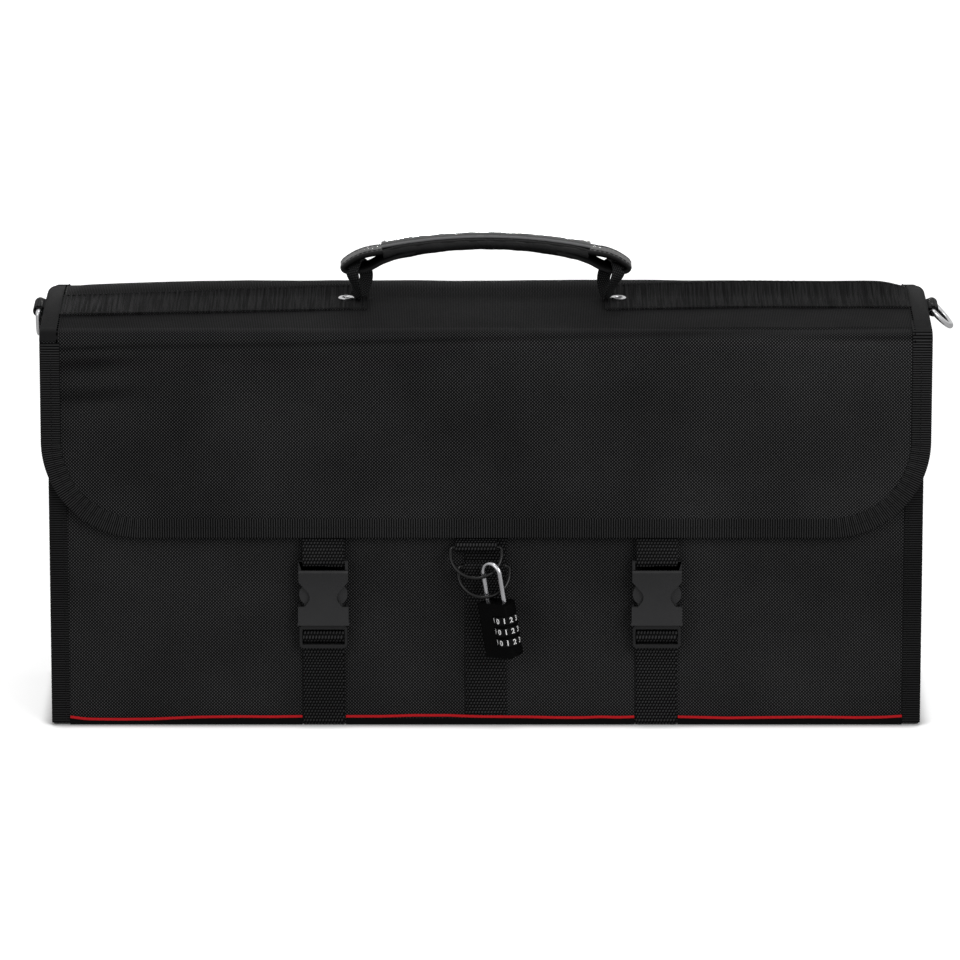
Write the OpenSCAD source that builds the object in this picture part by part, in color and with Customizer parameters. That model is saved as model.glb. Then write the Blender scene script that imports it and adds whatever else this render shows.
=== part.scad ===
// Board-stiffened fabric knife case with a hinged lid, a front flap, two side-release
// buckles, a locking hasp of two D-rings with a combination padlock, and a carrying handle.
// Millimetres, +Z up. The origin is the middle of the footprint on the ground, the front looks to -Y.

/* [Case body] */
// Outer width of the case over its end panels
body_w = 524; // [440:2:600]
// Outer depth of the case, front face to back face
body_d = 116; // [100:1:150]
// Height of the rim above the ground
body_h = 240; // [210:1:280]
// Thickness of a cloth-covered board panel
panel_t = 4; // [3:0.5:6]
// Thickness of the inside lining
lining_t = 0.8; // [0.5:0.1:1.2]
// Width of the ribbed binding tape on the panel edges
edge_tape_w = 10; // [7:0.5:13]
// Thickness of the ribbed binding tape
tape_t = 1; // [0.8:0.1:1.4]
// Diameter of the coloured piping at the foot of the front
piping_dia = 2.4; // [1.6:0.1:3.2]

/* [Lid and flap] */
// How far the lid and flap stand past each end panel
lid_overhang = 4; // [2:0.5:8]
// Thickness of the lid at its edges
lid_t = 5.4; // [4.5:0.1:7]
// Rise of the lid's crowned top
lid_crown = 1.4; // [0.4:0.1:3]
// Radius of the lid's rounded front edge
lid_round = 6; // [3:0.5:8]
// Diameter of the padded fold between lid and flap
fold_dia = 5.2; // [5:0.2:8]
// Diameter of the fold along the rear edge of the lid
rear_fold_dia = 5.4; // [4.5:0.1:7]
// Distance from the fold to the flap's lower edge
flap_drop = 117.5; // [100:0.5:150]
// Thickness of the flap
flap_t = 3.6; // [3:0.1:5]
// Corner radius of the flap
flap_corner = 59; // [30:1:80]
// Width of the flap's binding tape
flap_tape_w = 11; // [8:0.5:15]

/* [Webbing] */
// Width of the webbing straps
strap_w = 25; // [20:0.5:30]
// Thickness of the webbing
strap_t = 1.5; // [1.2:0.1:2]
// Middle of the left strap, left of the case's middle
left_strap_x = 98; // [70:1:150]
// Middle of the right strap, right of the case's middle
right_strap_x = 103; // [70:1:150]
// Width of the reinforcing strips on the lid
strip_w = 50; // [40:1:60]
// Middle of the strips and of the handle, behind the case's middle
strip_y = 12; // [5:1:20]
// Inner end of the strips, from the case's middle
strip_end_x = 72; // [60:1:78]

/* [Buckles] */
// Outer width of a buckle
buckle_w = 30.4; // [28:0.2:34]
// Thickness of a buckle
buckle_t = 9; // [8:0.2:9.4]
// Distance from the flap's lower edge down to the socket's mouth
buckle_drop = 54.9; // [52:0.1:58]
// Length of the socket without its strap bar
socket_len = 34; // [32:0.5:36]
// Length of the adjuster frame below the socket
adjuster_len = 14.8; // [14:0.2:17]
// Wall of the socket
socket_wall = 1.6; // [1.2:0.1:1.8]
// Width of the socket's waist
waist_w = 16.4; // [14:0.2:18]

/* [Rings and padlock] */
// Wire diameter of the hasp rings
hasp_wire = 2.1; // [1.8:0.1:2.4]
// Bend radius of a hasp ring at its wire's middle
hasp_ring_r = 15.4; // [14.6:0.1:16]
// Straight length of a hasp ring's sides
hasp_ring_leg = 4; // [3:0.2:5]
// Distance from the flap's lower edge down to the upper ring's bar
upper_bar_drop = 7; // [6.5:0.1:8]
// Distance from the flap's lower edge down to the lower ring's bar
lower_bar_drop = 19; // [18.5:0.1:20]
// Outward lean of both hasp rings, degrees
hasp_lean = 33; // [30:0.5:36]
// Wire diameter of the shoulder strap rings
side_wire = 3.4; // [3:0.1:3.8]
// Bend radius of a shoulder strap ring at its wire's middle
side_ring_r = 13.6; // [13.5:0.1:16]
// Width of the padlock's body
lock_w = 22; // [21:0.2:24]
// Thickness of the padlock's body
lock_t = 11; // [10:0.1:11.4]
// Height of the padlock's body
lock_h = 34.5; // [33:0.5:38]
// Wire diameter of the shackle
shackle_wire = 3; // [2.6:0.1:3.2]
// Distance between the shackle's legs
shackle_gap = 13; // [12:0.1:13.4]
// Height of the shackle's middle line above the padlock's body
shackle_rise = 23.8; // [22:0.2:26]
// Diameter of a number dial
dial_dia = 14; // [13:0.1:14.6]
// Thickness of a number dial
dial_t = 4.8; // [4:0.1:5.2]
// Distance from dial to dial
dial_pitch = 6.9; // [6.6:0.1:7.2]

/* [Handle] */
// Length of the padded grip
grip_len = 125; // [110:1:130]
// Width of the padded grip
grip_w = 18; // [16:0.2:20]
// Thickness of the padded grip
grip_t = 9; // [8:0.2:11]
// Height of the grip's middle above the lid
grip_rise = 38.5; // [36:0.5:44]
// Radius of the grip's arch
grip_arch_r = 314; // [250:1:450]
// Width of the leather strap
leather_w = 17; // [15:0.2:18]
// Thickness of the leather strap
leather_t = 2.6; // [2:0.1:3]
// Outer radius of the eyes at the ends of the leather strap
eye_r = 10.5; // [10:0.1:11.5]
// Middle of each eye, from the case's middle
eye_x = 78.5; // [77:0.1:80]
// Width of the webbing loops that hold the handle
loop_w = 8; // [6:0.2:9]

/* [Knife holders] */
// Distance from the rim down to the top of the swinging knife leaf
leaf_top_gap = 23.6; // [12:0.2:90]
// Distance from the rim down to the top of the knife sleeve on the back
back_holder_gap = 70.7; // [40:0.1:110]
// Clear height under the knife holders on the back
holder_foot = 12; // [8:1:20]
// Backward lean of the leaf at rest, degrees
leaf_lean = 6; // [5:0.5:7]
// Number of elastic loops on each band
loop_count = 6; // [4:1:7]

/* [Hidden] */
$fn = 48;

// Colours
cloth = [0.035, 0.035, 0.037];
tape = [0.03, 0.03, 0.032];
webbing = [0.03, 0.03, 0.031];
lining_grey = [0.08, 0.08, 0.085];
elastic = [0.05, 0.05, 0.052];
piping_red = [0.72, 0.05, 0.06];
plastic = [0.06, 0.06, 0.062];
leather = [0.04, 0.04, 0.04];
black_metal = [0.05, 0.05, 0.055];
bright_metal = [0.8, 0.8, 0.82];
lock_black = [0.015, 0.015, 0.017];

// Clearance between a part and what moves beside it
gap = 0.4;
// Clearance all round a running fit
fit_gap = 0.05;
// Overlap that fuses two shapes of one piece
fuse = 0.3;

// Levels and faces of the case
base_z = strap_t;
front_y = -body_d / 2;
back_y = body_d / 2;
half_w = body_w / 2;
lid_half_w = half_w + lid_overhang;
lid_under = body_h + 1;
lid_tape_t = 0.6;
lid_edge_z = lid_under + lid_t;
lid_top = lid_edge_z + lid_crown;
rim_z = body_h - 1;

// Fold between lid and flap, and fold along the rear edge
flap_room = tape_t + 2.1;
fold_y = front_y - flap_room - flap_t + fold_dia / 2;
fold_z = lid_under - gap - fold_dia / 2;
flap_front = fold_y - fold_dia / 2;
flap_back = flap_front + flap_t;
flap_bottom = fold_z - flap_drop;
rear_y = back_y - rear_fold_dia / 2;
rear_z = lid_under + rear_fold_dia / 2;

// Straps and buckles
buckle_z = flap_bottom - buckle_drop;
upper_bar_z = flap_bottom - upper_bar_drop;
lower_bar_z = flap_bottom - lower_bar_drop;
upper_strap_sewn = 30;
ring_tab_sewn = 24;
centre_strap_sewn = 14;
ply_lap = 2;
strap_back = front_y - 0.2;
strap_front = strap_back - strap_t;
centre_front = front_y - 1.2;
buckle_y = front_y - buckle_t / 2 - 0.9;
frame_bar_r = 1.6;
frame_bar_z = -7.6;
socket_bar_r = 1.4;
socket_slot = 3;
socket_bar_z = socket_len + socket_slot + socket_bar_r;
strap_xs = [-left_strap_x, right_strap_x];
cavity_w = buckle_w - 2 * socket_wall;
cavity_t = buckle_t - 2 * socket_wall - 0.4;
prong_t = cavity_t - 2 * gap;
prong_root_x = 8;
prong_root_z = 4.4;
prong_root_r = 1.5;
window_low = 11.5;
window_high = 26.5;

// Hasp rings
ring_bar_y = front_y - 5.5;
upper_ring_x = -6;
lower_ring_x = -1.2;
ring_drop = hasp_ring_r + hasp_ring_leg;
tab_roll_r = hasp_wire / 2 + 0.35 + strap_t;
ring_tip_y = ring_bar_y - ring_drop * sin(hasp_lean);

// Padlock, hung on both rings
lock_yaw = 40;
lock_tilt = 9;
lock_x = 6;
lock_y = ring_tip_y - 0.85;
lock_top_z = lower_bar_z - ring_drop * cos(hasp_lean) - hasp_wire / 2 - 1.15;
short_leg = 5;
long_leg = 18;
dial_x = lock_w / 2 + 1.2 - dial_dia / 2;
spindle_r = 2;
first_dial_z = -10.5;

// Lid fittings
strip_top = lid_top - lid_crown * pow(strip_y / rear_y, 2) + strap_t;
loop_base_r = 2.2;
loop_t = 1.7;
loop_gap = 0.45;
loop_play = 3;
loop_shoulder = 7;
loop_corner = 0.1;
loop_x = eye_x;
pivot_z = strip_top + loop_base_r + 0.25;
eyelet_r = 4.4;
eyelet_x = loop_x + loop_w / 2 + eyelet_r + 0.5;
grip_z = lid_top + grip_rise;
eye_drop = 15;
eye_z = grip_z - eye_drop;
side_roll_r = side_wire / 2 + 0.35 + strap_t;
side_bar_x = lid_half_w + tape_t + 0.2 + side_roll_r;
side_bar_z = (lid_under + lid_edge_z) / 2;
side_ring_leg = 2.2;
ring_tab_half = side_ring_r - side_wire / 2 - 0.8;
right_ring_drop = 45;
left_ring_drop = 90;

// Hinge tape under the rear fold: how far it reaches down the back, and where its cup ends round the fold
hinge_tape_drop = 18;
hinge_cup_end = 55;

// Inside of the case
floor_z = base_z + panel_t + lining_t;
inner_front = front_y + panel_t + lining_t;
inner_back = back_y - panel_t - lining_t;
inner_half_w = half_w - panel_t - lining_t;
leaf_t = 3;
leaf_half_w = inner_half_w - 8;
rear_room = 37.2;
leaf_y = inner_back - rear_room;
leaf_pivot_z = floor_z + leaf_t / 2 + 1.6;
leaf_h = rim_z - leaf_pivot_z - leaf_top_gap;
leaf_foot = 8;
leaf_hem = 6;
hinge_strip_half = 9;
hinge_strip_t = 1.1;
hinge_wall = 1.2;
back_holder_h = rim_z - floor_z - holder_foot - back_holder_gap;
band_tail = 4;
sleeve_t = 1.4;
sleeve_w = 262;
band_w = 38;
band_xs = [70, 190];

// Straight box from its two corners
module block(low, high) {
    translate(low) cube([high[0] - low[0], high[1] - low[1], high[2] - low[2]]);
}

// A shape drawn in the Y-Z plane and run along X from x0 to x1
module along_x(x0, x1) {
    translate([x0, 0, 0]) rotate([90, 0, 90]) linear_extrude(x1 - x0) children();
}

// A shape drawn in the X-Z plane and run along Y from y0 to y1
module along_y(y0, y1) {
    translate([0, y1, 0]) rotate([90, 0, 0]) linear_extrude(y1 - y0) children();
}

// Board panels

module bottom_panel() {
    color(cloth) block([-half_w + panel_t, front_y + panel_t, base_z], [half_w - panel_t, back_y - panel_t, base_z + panel_t]);
}

module front_panel() {
    color(cloth) block([-half_w, front_y, base_z], [half_w, front_y + panel_t, body_h]);
}

module back_panel() {
    color(cloth) block([-half_w, back_y - panel_t, base_z], [half_w, back_y, body_h]);
}

module end_panel(side) {
    inner = half_w - panel_t;
    color(cloth)
    translate([side > 0 ? inner : -half_w, front_y + panel_t, base_z])
    cube([panel_t, body_d - 2 * panel_t, body_h - base_z]);
}

module lining() {
    x = half_w - panel_t;
    color(lining_grey)
    difference() {
        block([-x, front_y + panel_t, base_z + panel_t], [x, back_y - panel_t, rim_z]);
        block([-inner_half_w, inner_front, floor_z], [inner_half_w, inner_back, body_h]);
    }
}

// Ribbed tape folded round a vertical corner of the body
module corner_binding(side, front) {
    face = half_w + tape_t;
    depth = body_d / 2 + tape_t;
    color(tape)
    scale_side(side, front)
    difference() {
        block([half_w - edge_tape_w, -depth, base_z + 0.4], [face, -body_d / 2 + edge_tape_w * 0.7, body_h - 0.6]);
        block([0, -body_d / 2, 0], [half_w, 0, body_h + 1]);
    }
}

// Mirrors a corner piece to its side and to the front or the back
module scale_side(side, front) {
    mirror([side > 0 ? 0 : 1, 0, 0]) mirror([0, front ? 0 : 1, 0]) children();
}

module front_piping() {
    r = piping_dia / 2;
    z = base_z + 4.4;
    end = half_w - edge_tape_w;
    reach = strap_w / 2 + 0.5;
    color(piping_red)
    for (span = [[-end, strap_xs[0] - reach], [strap_xs[0] + reach, strap_xs[1] - reach], [strap_xs[1] + reach, end]])
        translate([span[0], front_y - r, z]) rotate([0, 90, 0]) cylinder(h = span[1] - span[0], r = r, $fn = 24);
}

// Webbing

// Strap under the bottom, up the front and round the adjuster's bar
module lower_strap(x) {
    bar_z = buckle_z + frame_bar_z;
    inner_r = frame_bar_r + 0.35;
    outer_r = inner_r + strap_t;
    color(webbing)
    along_x(x - strap_w / 2, x + strap_w / 2) {
        difference() {
            union() {
                translate([strap_front, 0]) square([strap_t, bar_z]);
                translate([buckle_y, bar_z]) circle(r = outer_r, $fn = 40);
                translate([buckle_y, bar_z]) square([strap_back - buckle_y, outer_r]);
            }
            translate([buckle_y, bar_z]) circle(r = inner_r, $fn = 40);
            translate([strap_back, 0]) square([10, body_h]);
        }
        translate([strap_front, 0]) square([back_y - 6 - strap_front, base_z]);
    }
}

// Strap up the middle of the front, from the piping to under the flap
module centre_strap() {
    color(webbing)
    block([-strap_w / 2, centre_front, base_z + 4.4 + piping_dia / 2 + 0.4], [strap_w / 2, front_y, flap_bottom + centre_strap_sewn]);
}

// Folded tab that holds the lower hasp ring, sewn on the middle strap
module lower_ring_tab() {
    inner_r = hasp_wire / 2 + 0.35;
    foot_z = lower_bar_z - 16;
    color(webbing)
    along_x(lower_ring_x - strap_w / 2, lower_ring_x + strap_w / 2)
    difference() {
        union() {
            translate([ring_bar_y, lower_bar_z]) circle(r = tab_roll_r, $fn = 40);
            polygon([
                [centre_front, foot_z], [centre_front, lower_bar_z], [ring_bar_y, lower_bar_z + 0.5],
                [ring_bar_y - tab_roll_r * 0.94, lower_bar_z - tab_roll_r * 0.35], [centre_front - 2.2, foot_z]
            ]);
        }
        translate([ring_bar_y, lower_bar_z]) circle(r = inner_r, $fn = 40);
    }
}

// Webbing sewn behind the flap that hangs down, goes under a bar and comes up again in front, in two plies
module hanging_webbing(x, bar_y, bar_z, inner_r, sewn_z) {
    outer_r = inner_r + strap_t;
    meet_z = flap_bottom - tape_t - 0.4;
    color(webbing)
    along_x(x - strap_w / 2, x + strap_w / 2) {
        difference() {
            translate([bar_y, bar_z]) circle(r = outer_r, $fn = 40);
            translate([bar_y, bar_z]) circle(r = inner_r, $fn = 40);
            translate([bar_y - outer_r - 1, bar_z]) square([2 * outer_r + 2, outer_r + 1]);
        }
        translate([flap_back, bar_z - fuse]) square([strap_t, sewn_z - bar_z + fuse]);
        polygon([
            [bar_y - outer_r, bar_z - fuse], [bar_y - inner_r, bar_z - fuse], [bar_y - inner_r, bar_z + inner_r],
            [flap_back + fuse, meet_z - ply_lap], [flap_back + fuse, meet_z], [bar_y - outer_r + 0.3, bar_z + inner_r]
        ]);
    }
}

module upper_strap(x) {
    hanging_webbing(x, buckle_y, buckle_z + socket_bar_z, socket_bar_r + 0.35, flap_bottom + upper_strap_sewn);
}

module upper_ring_tab() {
    hanging_webbing(upper_ring_x, ring_bar_y, upper_bar_z, hasp_wire / 2 + 0.35, flap_bottom + ring_tab_sewn);
}

// Side-release buckle: the socket rides on the flap, the frame and its prongs on the body.
// Buckle parts are drawn with the mouth at z = 0 and the middle plane at y = 0.

module at_buckle(x) {
    translate([x, buckle_y, buckle_z]) children();
}

// Front outline of the socket: full at the mouth, waisted at the finger notches, eared at the strap bar
module socket_outline() {
    half = buckle_w / 2;
    difference() {
        union() {
            translate([-half, 0]) square([buckle_w, window_low]);
            translate([-half + 0.3, window_low - fuse]) square([buckle_w - 0.6, socket_bar_z + socket_bar_r - window_low + fuse]);
        }
        for (side = [-1, 1]) mirror([side > 0 ? 0 : 1, 0]) {
            translate([waist_w / 2 + 5.5, window_low + 6]) circle(r = 5.5, $fn = 48);
            polygon([
                [waist_w / 2 + 2, window_low + 1.4], [waist_w / 2 + 3.4, window_low + 0.1], [half + 1, window_low + 0.1],
                [half + 1, window_high + 2.4], [half - 0.9, window_high], [waist_w / 2 + 1.1, window_low + 9.4]
            ]);
        }
    }
}

module buckle_socket(x) {
    half = buckle_w / 2;
    bar_top = socket_bar_z + socket_bar_r;
    ear = 2;
    color(plastic)
    at_buckle(x)
    difference() {
        union() {
            along_y(-buckle_t / 2, buckle_t / 2) socket_outline();
            // Rolled lip round the mouth
            block([-half - 0.4, -buckle_t / 2, 0], [half + 0.4, buckle_t / 2, 1.6]);
        }
        // Hollow for the prongs, open at the mouth and at both finger notches
        block([-cavity_w / 2, -cavity_t / 2, -1], [cavity_w / 2, cavity_t / 2, window_high]);
        // Thinner strap end
        block([-half - 1, -buckle_t, socket_len], [half + 1, -2.4, bar_top + 1]);
        block([-half - 1, 2.4, socket_len], [half + 1, buckle_t, bar_top + 1]);
        // Slot that the strap passes through, and room for its roll
        block([-half + ear, -buckle_t, socket_len + 0.01], [half - ear, buckle_t, bar_top + 1]);
        // Bevel along the top of the front plate
        translate([0, -buckle_t / 2, socket_len]) rotate([45, 0, 0]) cube([buckle_w + 2, 1.6, 1.6], center = true);
    }
    // Strap bar between the ears
    color(plastic)
    at_buckle(x)
    translate([-half + ear - fuse, 0, socket_bar_z]) rotate([0, 90, 0]) cylinder(h = buckle_w - 2 * ear + 2 * fuse, r = socket_bar_r, $fn = 32);
}

// Adjuster frame with two bars, a plate that closes the socket's mouth and a guide tongue
module buckle_frame(x) {
    half = buckle_w / 2 - 0.8;
    rail = 1.6;
    t = 4.6;
    plate_half = cavity_w / 2 - gap;
    color(plastic)
    at_buckle(x)
    difference() {
        union() {
            difference() {
                along_y(-t / 2, t / 2) rounded_rect(-half, -adjuster_len, half, -0.5, 2.6);
                block([-half + rail, -t, -adjuster_len + 2.3], [half - rail, t, -3]);
            }
            block([-plate_half, -cavity_t / 2 + gap, -1], [plate_half, cavity_t / 2 - gap, 2.6]);
            // Guide tongue between the prongs
            along_y(-prong_t / 2, prong_t / 2) polygon([[-2.4, 2], [2.4, 2], [1.6, 19], [0.9, 21.5], [-0.9, 21.5], [-1.6, 19]]);
            translate([-half + 1, 0, frame_bar_z]) rotate([0, 90, 0]) cylinder(h = 2 * half - 2, r = frame_bar_r, $fn = 32);
            for (side = [-1, 1]) translate([side * prong_root_x, 0, 2.3]) cube([2 * prong_root_r + 2.4, prong_t, 2], center = true);
        }
        // Seats of the two prong roots
        for (side = [-1, 1]) translate([side * prong_root_x, 0, prong_root_z]) rotate([90, 0, 0])
            cylinder(h = buckle_t, r = prong_root_r + 0.3, center = true, $fn = 32);
    }
}

// Rectangle with four rounded corners
module rounded_rect(x0, z0, x1, z1, r) {
    translate([x0 + r, z0]) square([x1 - x0 - 2 * r, z1 - z0]);
    translate([x0, z0 + r]) square([x1 - x0, z1 - z0 - 2 * r]);
    for (x = [x0 + r, x1 - r], z = [z0 + r, z1 - r]) translate([x, z]) circle(r = r, $fn = 32);
}

// Springy prong with its barb and finger pad, drawn for the right side
module prong(x, side) {
    barb = cavity_w / 2 + 1;
    color(plastic)
    at_buckle(x)
    mirror([side > 0 ? 0 : 1, 0, 0])
    along_y(-prong_t / 2, prong_t / 2) {
        translate([prong_root_x, prong_root_z]) circle(r = prong_root_r, $fn = 32);
        // Arm
        polygon([
            [prong_root_x - prong_root_r, prong_root_z], [prong_root_x + prong_root_r, prong_root_z],
            [cavity_w / 2 - 1.9, window_low + 1], [cavity_w / 2 - 4.2, window_low + 2.2]
        ]);
        // Barb and finger pad
        difference() {
            translate([barb - 6.9, window_low + 7.4]) circle(r = 6.9, $fn = 64);
            translate([-20, window_low - 20]) square([60, 20.35]);
            translate([0, 0]) square([barb - 6.4, 60]);
        }
    }
}

// Tape sewn on the back that cups the lid's rear fold from below, over the width between the end bindings
module rear_hinge_tape() {
    cup_r = rear_fold_dia / 2 + 0.3;
    cup_top = rear_z - cup_r * sin(hinge_cup_end);
    end = half_w - edge_tape_w - 2;
    color(tape)
    along_x(-end, end)
    difference() {
        union() {
            translate([rear_y, body_h]) square([back_y + tape_t - rear_y, cup_top - body_h]);
            translate([back_y, body_h - hinge_tape_drop]) square([tape_t, hinge_tape_drop + fuse]);
        }
        translate([rear_y, rear_z]) circle(r = cup_r, $fn = 48);
    }
}

// Lid

// Cross-section of the lid in Y-Z, grown outwards by skin: crowned on top, round at the front and rear edges
module lid_profile(skin) {
    front = fold_y + fold_dia / 2 + gap - skin;
    front_r = lid_round + skin;
    rear_r = rear_fold_dia / 2 + skin;
    steps = 18;
    arc = 10;
    function top_z(y) = rear_z + rear_r + (lid_t - rear_fold_dia) + lid_crown * (1 - pow(y / rear_y, 2));
    round_z = top_z(front + front_r);
    polygon(concat(
        [for (i = [0:arc]) [front + front_r * (1 - cos(90 * i / arc)), lid_under + (round_z - lid_under) * sin(90 * i / arc)]],
        [for (i = [1:steps - 1]) let (y = front + front_r + (rear_y - front - front_r) * i / steps) [y, top_z(y)]],
        [for (i = [0:2 * arc]) [rear_y + rear_r * sin(90 * i / arc), rear_z + rear_r * cos(90 * i / arc)]]
    ));
}

module lid_panel() {
    color(cloth) along_x(-lid_half_w, lid_half_w) lid_profile(0);
}

// Tape over an end of the lid, from its front edge to its rear fold
module lid_binding(side) {
    w = edge_tape_w + 4;
    color(tape)
    mirror([side > 0 ? 0 : 1, 0, 0])
    difference() {
        along_x(lid_half_w - w, lid_half_w + tape_t) lid_profile(lid_tape_t);
        along_x(lid_half_w - w - 1, lid_half_w) lid_profile(0);
        block([lid_half_w - w - 1, -body_d, lid_under - 20], [lid_half_w + 20, body_d, lid_under]);
    }
}

// Webbing strip on the lid from the eyelet out to the end tape, following the crown
module top_strip(side) {
    y0 = strip_y - strip_w / 2;
    y1 = strip_y + strip_w / 2;
    steps = 8;
    function top_z(y) = lid_edge_z + lid_crown * (1 - pow(y / rear_y, 2));
    ys = [for (i = [0:steps]) y0 + (y1 - y0) * i / steps];
    color(webbing)
    mirror([side > 0 ? 0 : 1, 0, 0])
    difference() {
        along_x(strip_end_x, lid_half_w - edge_tape_w - 4)
        difference() {
            polygon(concat([for (y = ys) [y, top_z(y) + strap_t]], [[y1, lid_under + 1], [y0, lid_under + 1]]));
            lid_profile(0);
        }
        translate([eyelet_x, strip_y, lid_under]) cylinder(h = 40, r = 2.4, $fn = 32);
    }
}

module eyelet(side) {
    rim = 0.9;
    color(bright_metal)
    translate([side * eyelet_x, strip_y, strip_top + 0.04])
    difference() {
        union() {
            cylinder(h = rim, r1 = eyelet_r, r2 = eyelet_r - 1.1, $fn = 40);
            translate([0, 0, -strap_t]) cylinder(h = strap_t + rim - 0.1, r = 2.3, $fn = 40);
        }
        translate([0, 0, -strap_t - 1]) cylinder(h = 10, r = 1.5, $fn = 40);
    }
}

// Tab at an end of the lid that holds a shoulder strap ring
module ring_tab(side) {
    inner_r = side_wire / 2 + 0.35;
    color(webbing)
    mirror([side > 0 ? 0 : 1, 0, 0])
    along_y(strip_y - ring_tab_half, strip_y + ring_tab_half)
    difference() {
        union() {
            translate([side_bar_x, side_bar_z]) circle(r = side_roll_r, $fn = 40);
            translate([lid_half_w + tape_t, side_bar_z - 1.6]) square([side_roll_r, 3.2]);
        }
        translate([side_bar_x, side_bar_z]) circle(r = inner_r, $fn = 40);
    }
}

// Flap

// Outline of the flap in X-Z, inset all round except at the fold
module flap_outline(inset) {
    half = lid_half_w - inset;
    low = flap_bottom + inset;
    r = flap_corner - inset;
    translate([-half, low + r]) square([2 * half, fold_z - low - r]);
    translate([-half + r, low]) square([2 * (half - r), r + fuse]);
    for (side = [-1, 1]) translate([side * (half - r), low + r]) circle(r = r, $fn = 96);
}

module flap_panel() {
    color(cloth) {
        along_y(flap_front, flap_back) flap_outline(0);
        translate([-lid_half_w, fold_y, fold_z]) rotate([0, 90, 0]) cylinder(h = 2 * lid_half_w, r = fold_dia / 2, $fn = 40);
    }
}

// Tape folded round the flap's free edge, on both faces
module flap_binding() {
    top = fold_z - fold_dia / 2 - gap;
    color(tape)
    difference() {
        along_y(flap_front - tape_t, flap_back + tape_t) flap_outline(-tape_t);
        along_y(flap_front - 5, flap_back + 5) flap_outline(flap_tape_w);
        along_y(flap_front, flap_back) flap_outline(0);
        block([-body_w, front_y - 20, top], [body_w, back_y, body_h + 20]);
        for (cut = concat([for (x = strap_xs) x], [upper_ring_x]))
            block([cut - strap_w / 2 - 0.3, flap_back, 0], [cut + strap_w / 2 + 0.3, back_y, body_h]);
    }
}

// Handle, drawn upright over the lid

// Part of a ring in X-Z about the arch's middle, between two radii, out to a half-angle
module arch_profile(r0, r1, half_angle) {
    translate([0, grip_z - grip_arch_r]) difference() {
        circle(r = r1, $fn = 720);
        circle(r = r0, $fn = 720);
        for (side = [-1, 1]) rotate(-side * half_angle) translate([side > 0 ? 0 : -2 * r1, -2 * r1]) square([2 * r1, 4 * r1]);
    }
}

grip_half_angle = asin(grip_len / 2 / grip_arch_r);
neck_step = 2.2;
neck_sag = 0.4;
slit_step = 6.5;
slit_r = 0.7;
slit_drop = 1.8;
grip_reach = (grip_arch_r + grip_t / 2) * sin(grip_half_angle);

module handle_strap() {
    ply = leather_t;
    neck_x = grip_len / 2 + neck_step;
    neck_z = grip_z - grip_arch_r * (1 - cos(grip_half_angle)) - neck_sag;
    inner_r = eye_r - ply;
    color(leather)
    along_y(strip_y - leather_w / 2, strip_y + leather_w / 2) {
        arch_profile(grip_arch_r - ply / 2, grip_arch_r + ply / 2, grip_half_angle + 0.5);
        for (side = [-1, 1]) mirror([side > 0 ? 0 : 1, 0])
        difference() {
            hull() {
                translate([eye_x, eye_z]) circle(r = eye_r, $fn = 32);
                translate([neck_x, neck_z]) circle(r = ply + neck_sag, $fn = 32);
            }
            hull() {
                translate([eye_x, eye_z]) circle(r = inner_r, $fn = 32);
                translate([neck_x + slit_step, neck_z - slit_drop]) circle(r = slit_r, $fn = 32);
            }
            square([grip_reach + gap, 2 * grip_z]);
        }
    }
}

// Padded grip round the strap: rounded section swept along the arch
module grip_sleeve() {
    end = grip_half_angle;
    color(leather)
    translate([0, strip_y, grip_z - grip_arch_r])
    rotate([90, 0, 0])
    rotate([0, 0, 90 - end])
    rotate_extrude(angle = 2 * end, $fn = 360)
    difference() {
        translate([grip_arch_r, 0]) {
            square([grip_t, grip_w - grip_t], center = true);
            for (side = [-1, 1]) translate([0, side * (grip_w - grip_t) / 2]) circle(r = grip_t / 2, $fn = 40);
        }
        translate([grip_arch_r, 0]) square([leather_t + 0.2, leather_w + 0.2], center = true);
    }
}

// Webbing loop through an eye of the handle, closed to a fold at its foot
module handle_loop(side) {
    spread = leather_w / 2 + loop_gap + loop_t / 2;
    bend = loop_t / 2;
    crossing = eye_z - eye_r + leather_t + loop_play + loop_t / 2;
    color(webbing)
    mirror([side > 0 ? 0 : 1, 0, 0])
    along_x(loop_x - loop_w / 2, loop_x + loop_w / 2)
    difference() {
        hull() {
            for (edge = [-1, 1]) translate([strip_y + edge * spread, crossing]) circle(r = bend, $fn = 32);
            for (edge = [-1, 1]) translate([strip_y + edge * spread, crossing - loop_shoulder]) circle(r = bend, $fn = 32);
            translate([strip_y, pivot_z]) circle(r = loop_base_r, $fn = 32);
        }
        hull() {
            for (edge = [-1, 1]) translate([strip_y + edge * (spread - bend - loop_corner), crossing - bend - loop_corner]) circle(r = loop_corner, $fn = 16);
            for (edge = [-1, 1]) translate([strip_y + edge * (spread - bend - loop_corner), crossing - loop_shoulder + gap]) circle(r = loop_corner, $fn = 16);
            translate([strip_y, pivot_z + loop_base_r + 1.2]) circle(r = loop_corner, $fn = 16);
        }
    }
}

// Rings

// D-ring hanging from a bar along X at the origin; its plane is X-Z and its two corners are bent tight
module d_ring(bend_r, leg, wire_r, corner_r) {
    inner = bend_r - corner_r;
    translate([-inner, 0, 0]) rotate([0, 90, 0]) cylinder(h = 2 * inner, r = wire_r, $fn = 32);
    for (side = [-1, 1]) mirror([side > 0 ? 0 : 1, 0, 0]) {
        translate([inner, 0, -corner_r]) rotate([90, 0, 0])
            rotate_extrude(angle = 90, $fn = 64) translate([corner_r, 0]) circle(r = wire_r, $fn = 32);
        translate([bend_r, 0, -leg]) cylinder(h = leg - corner_r, r = wire_r, $fn = 32);
    }
    translate([0, 0, -leg]) rotate([90, 0, 0]) rotate([0, 0, 180])
        rotate_extrude(angle = 180, $fn = 96) translate([bend_r, 0]) circle(r = wire_r, $fn = 32);
}

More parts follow.
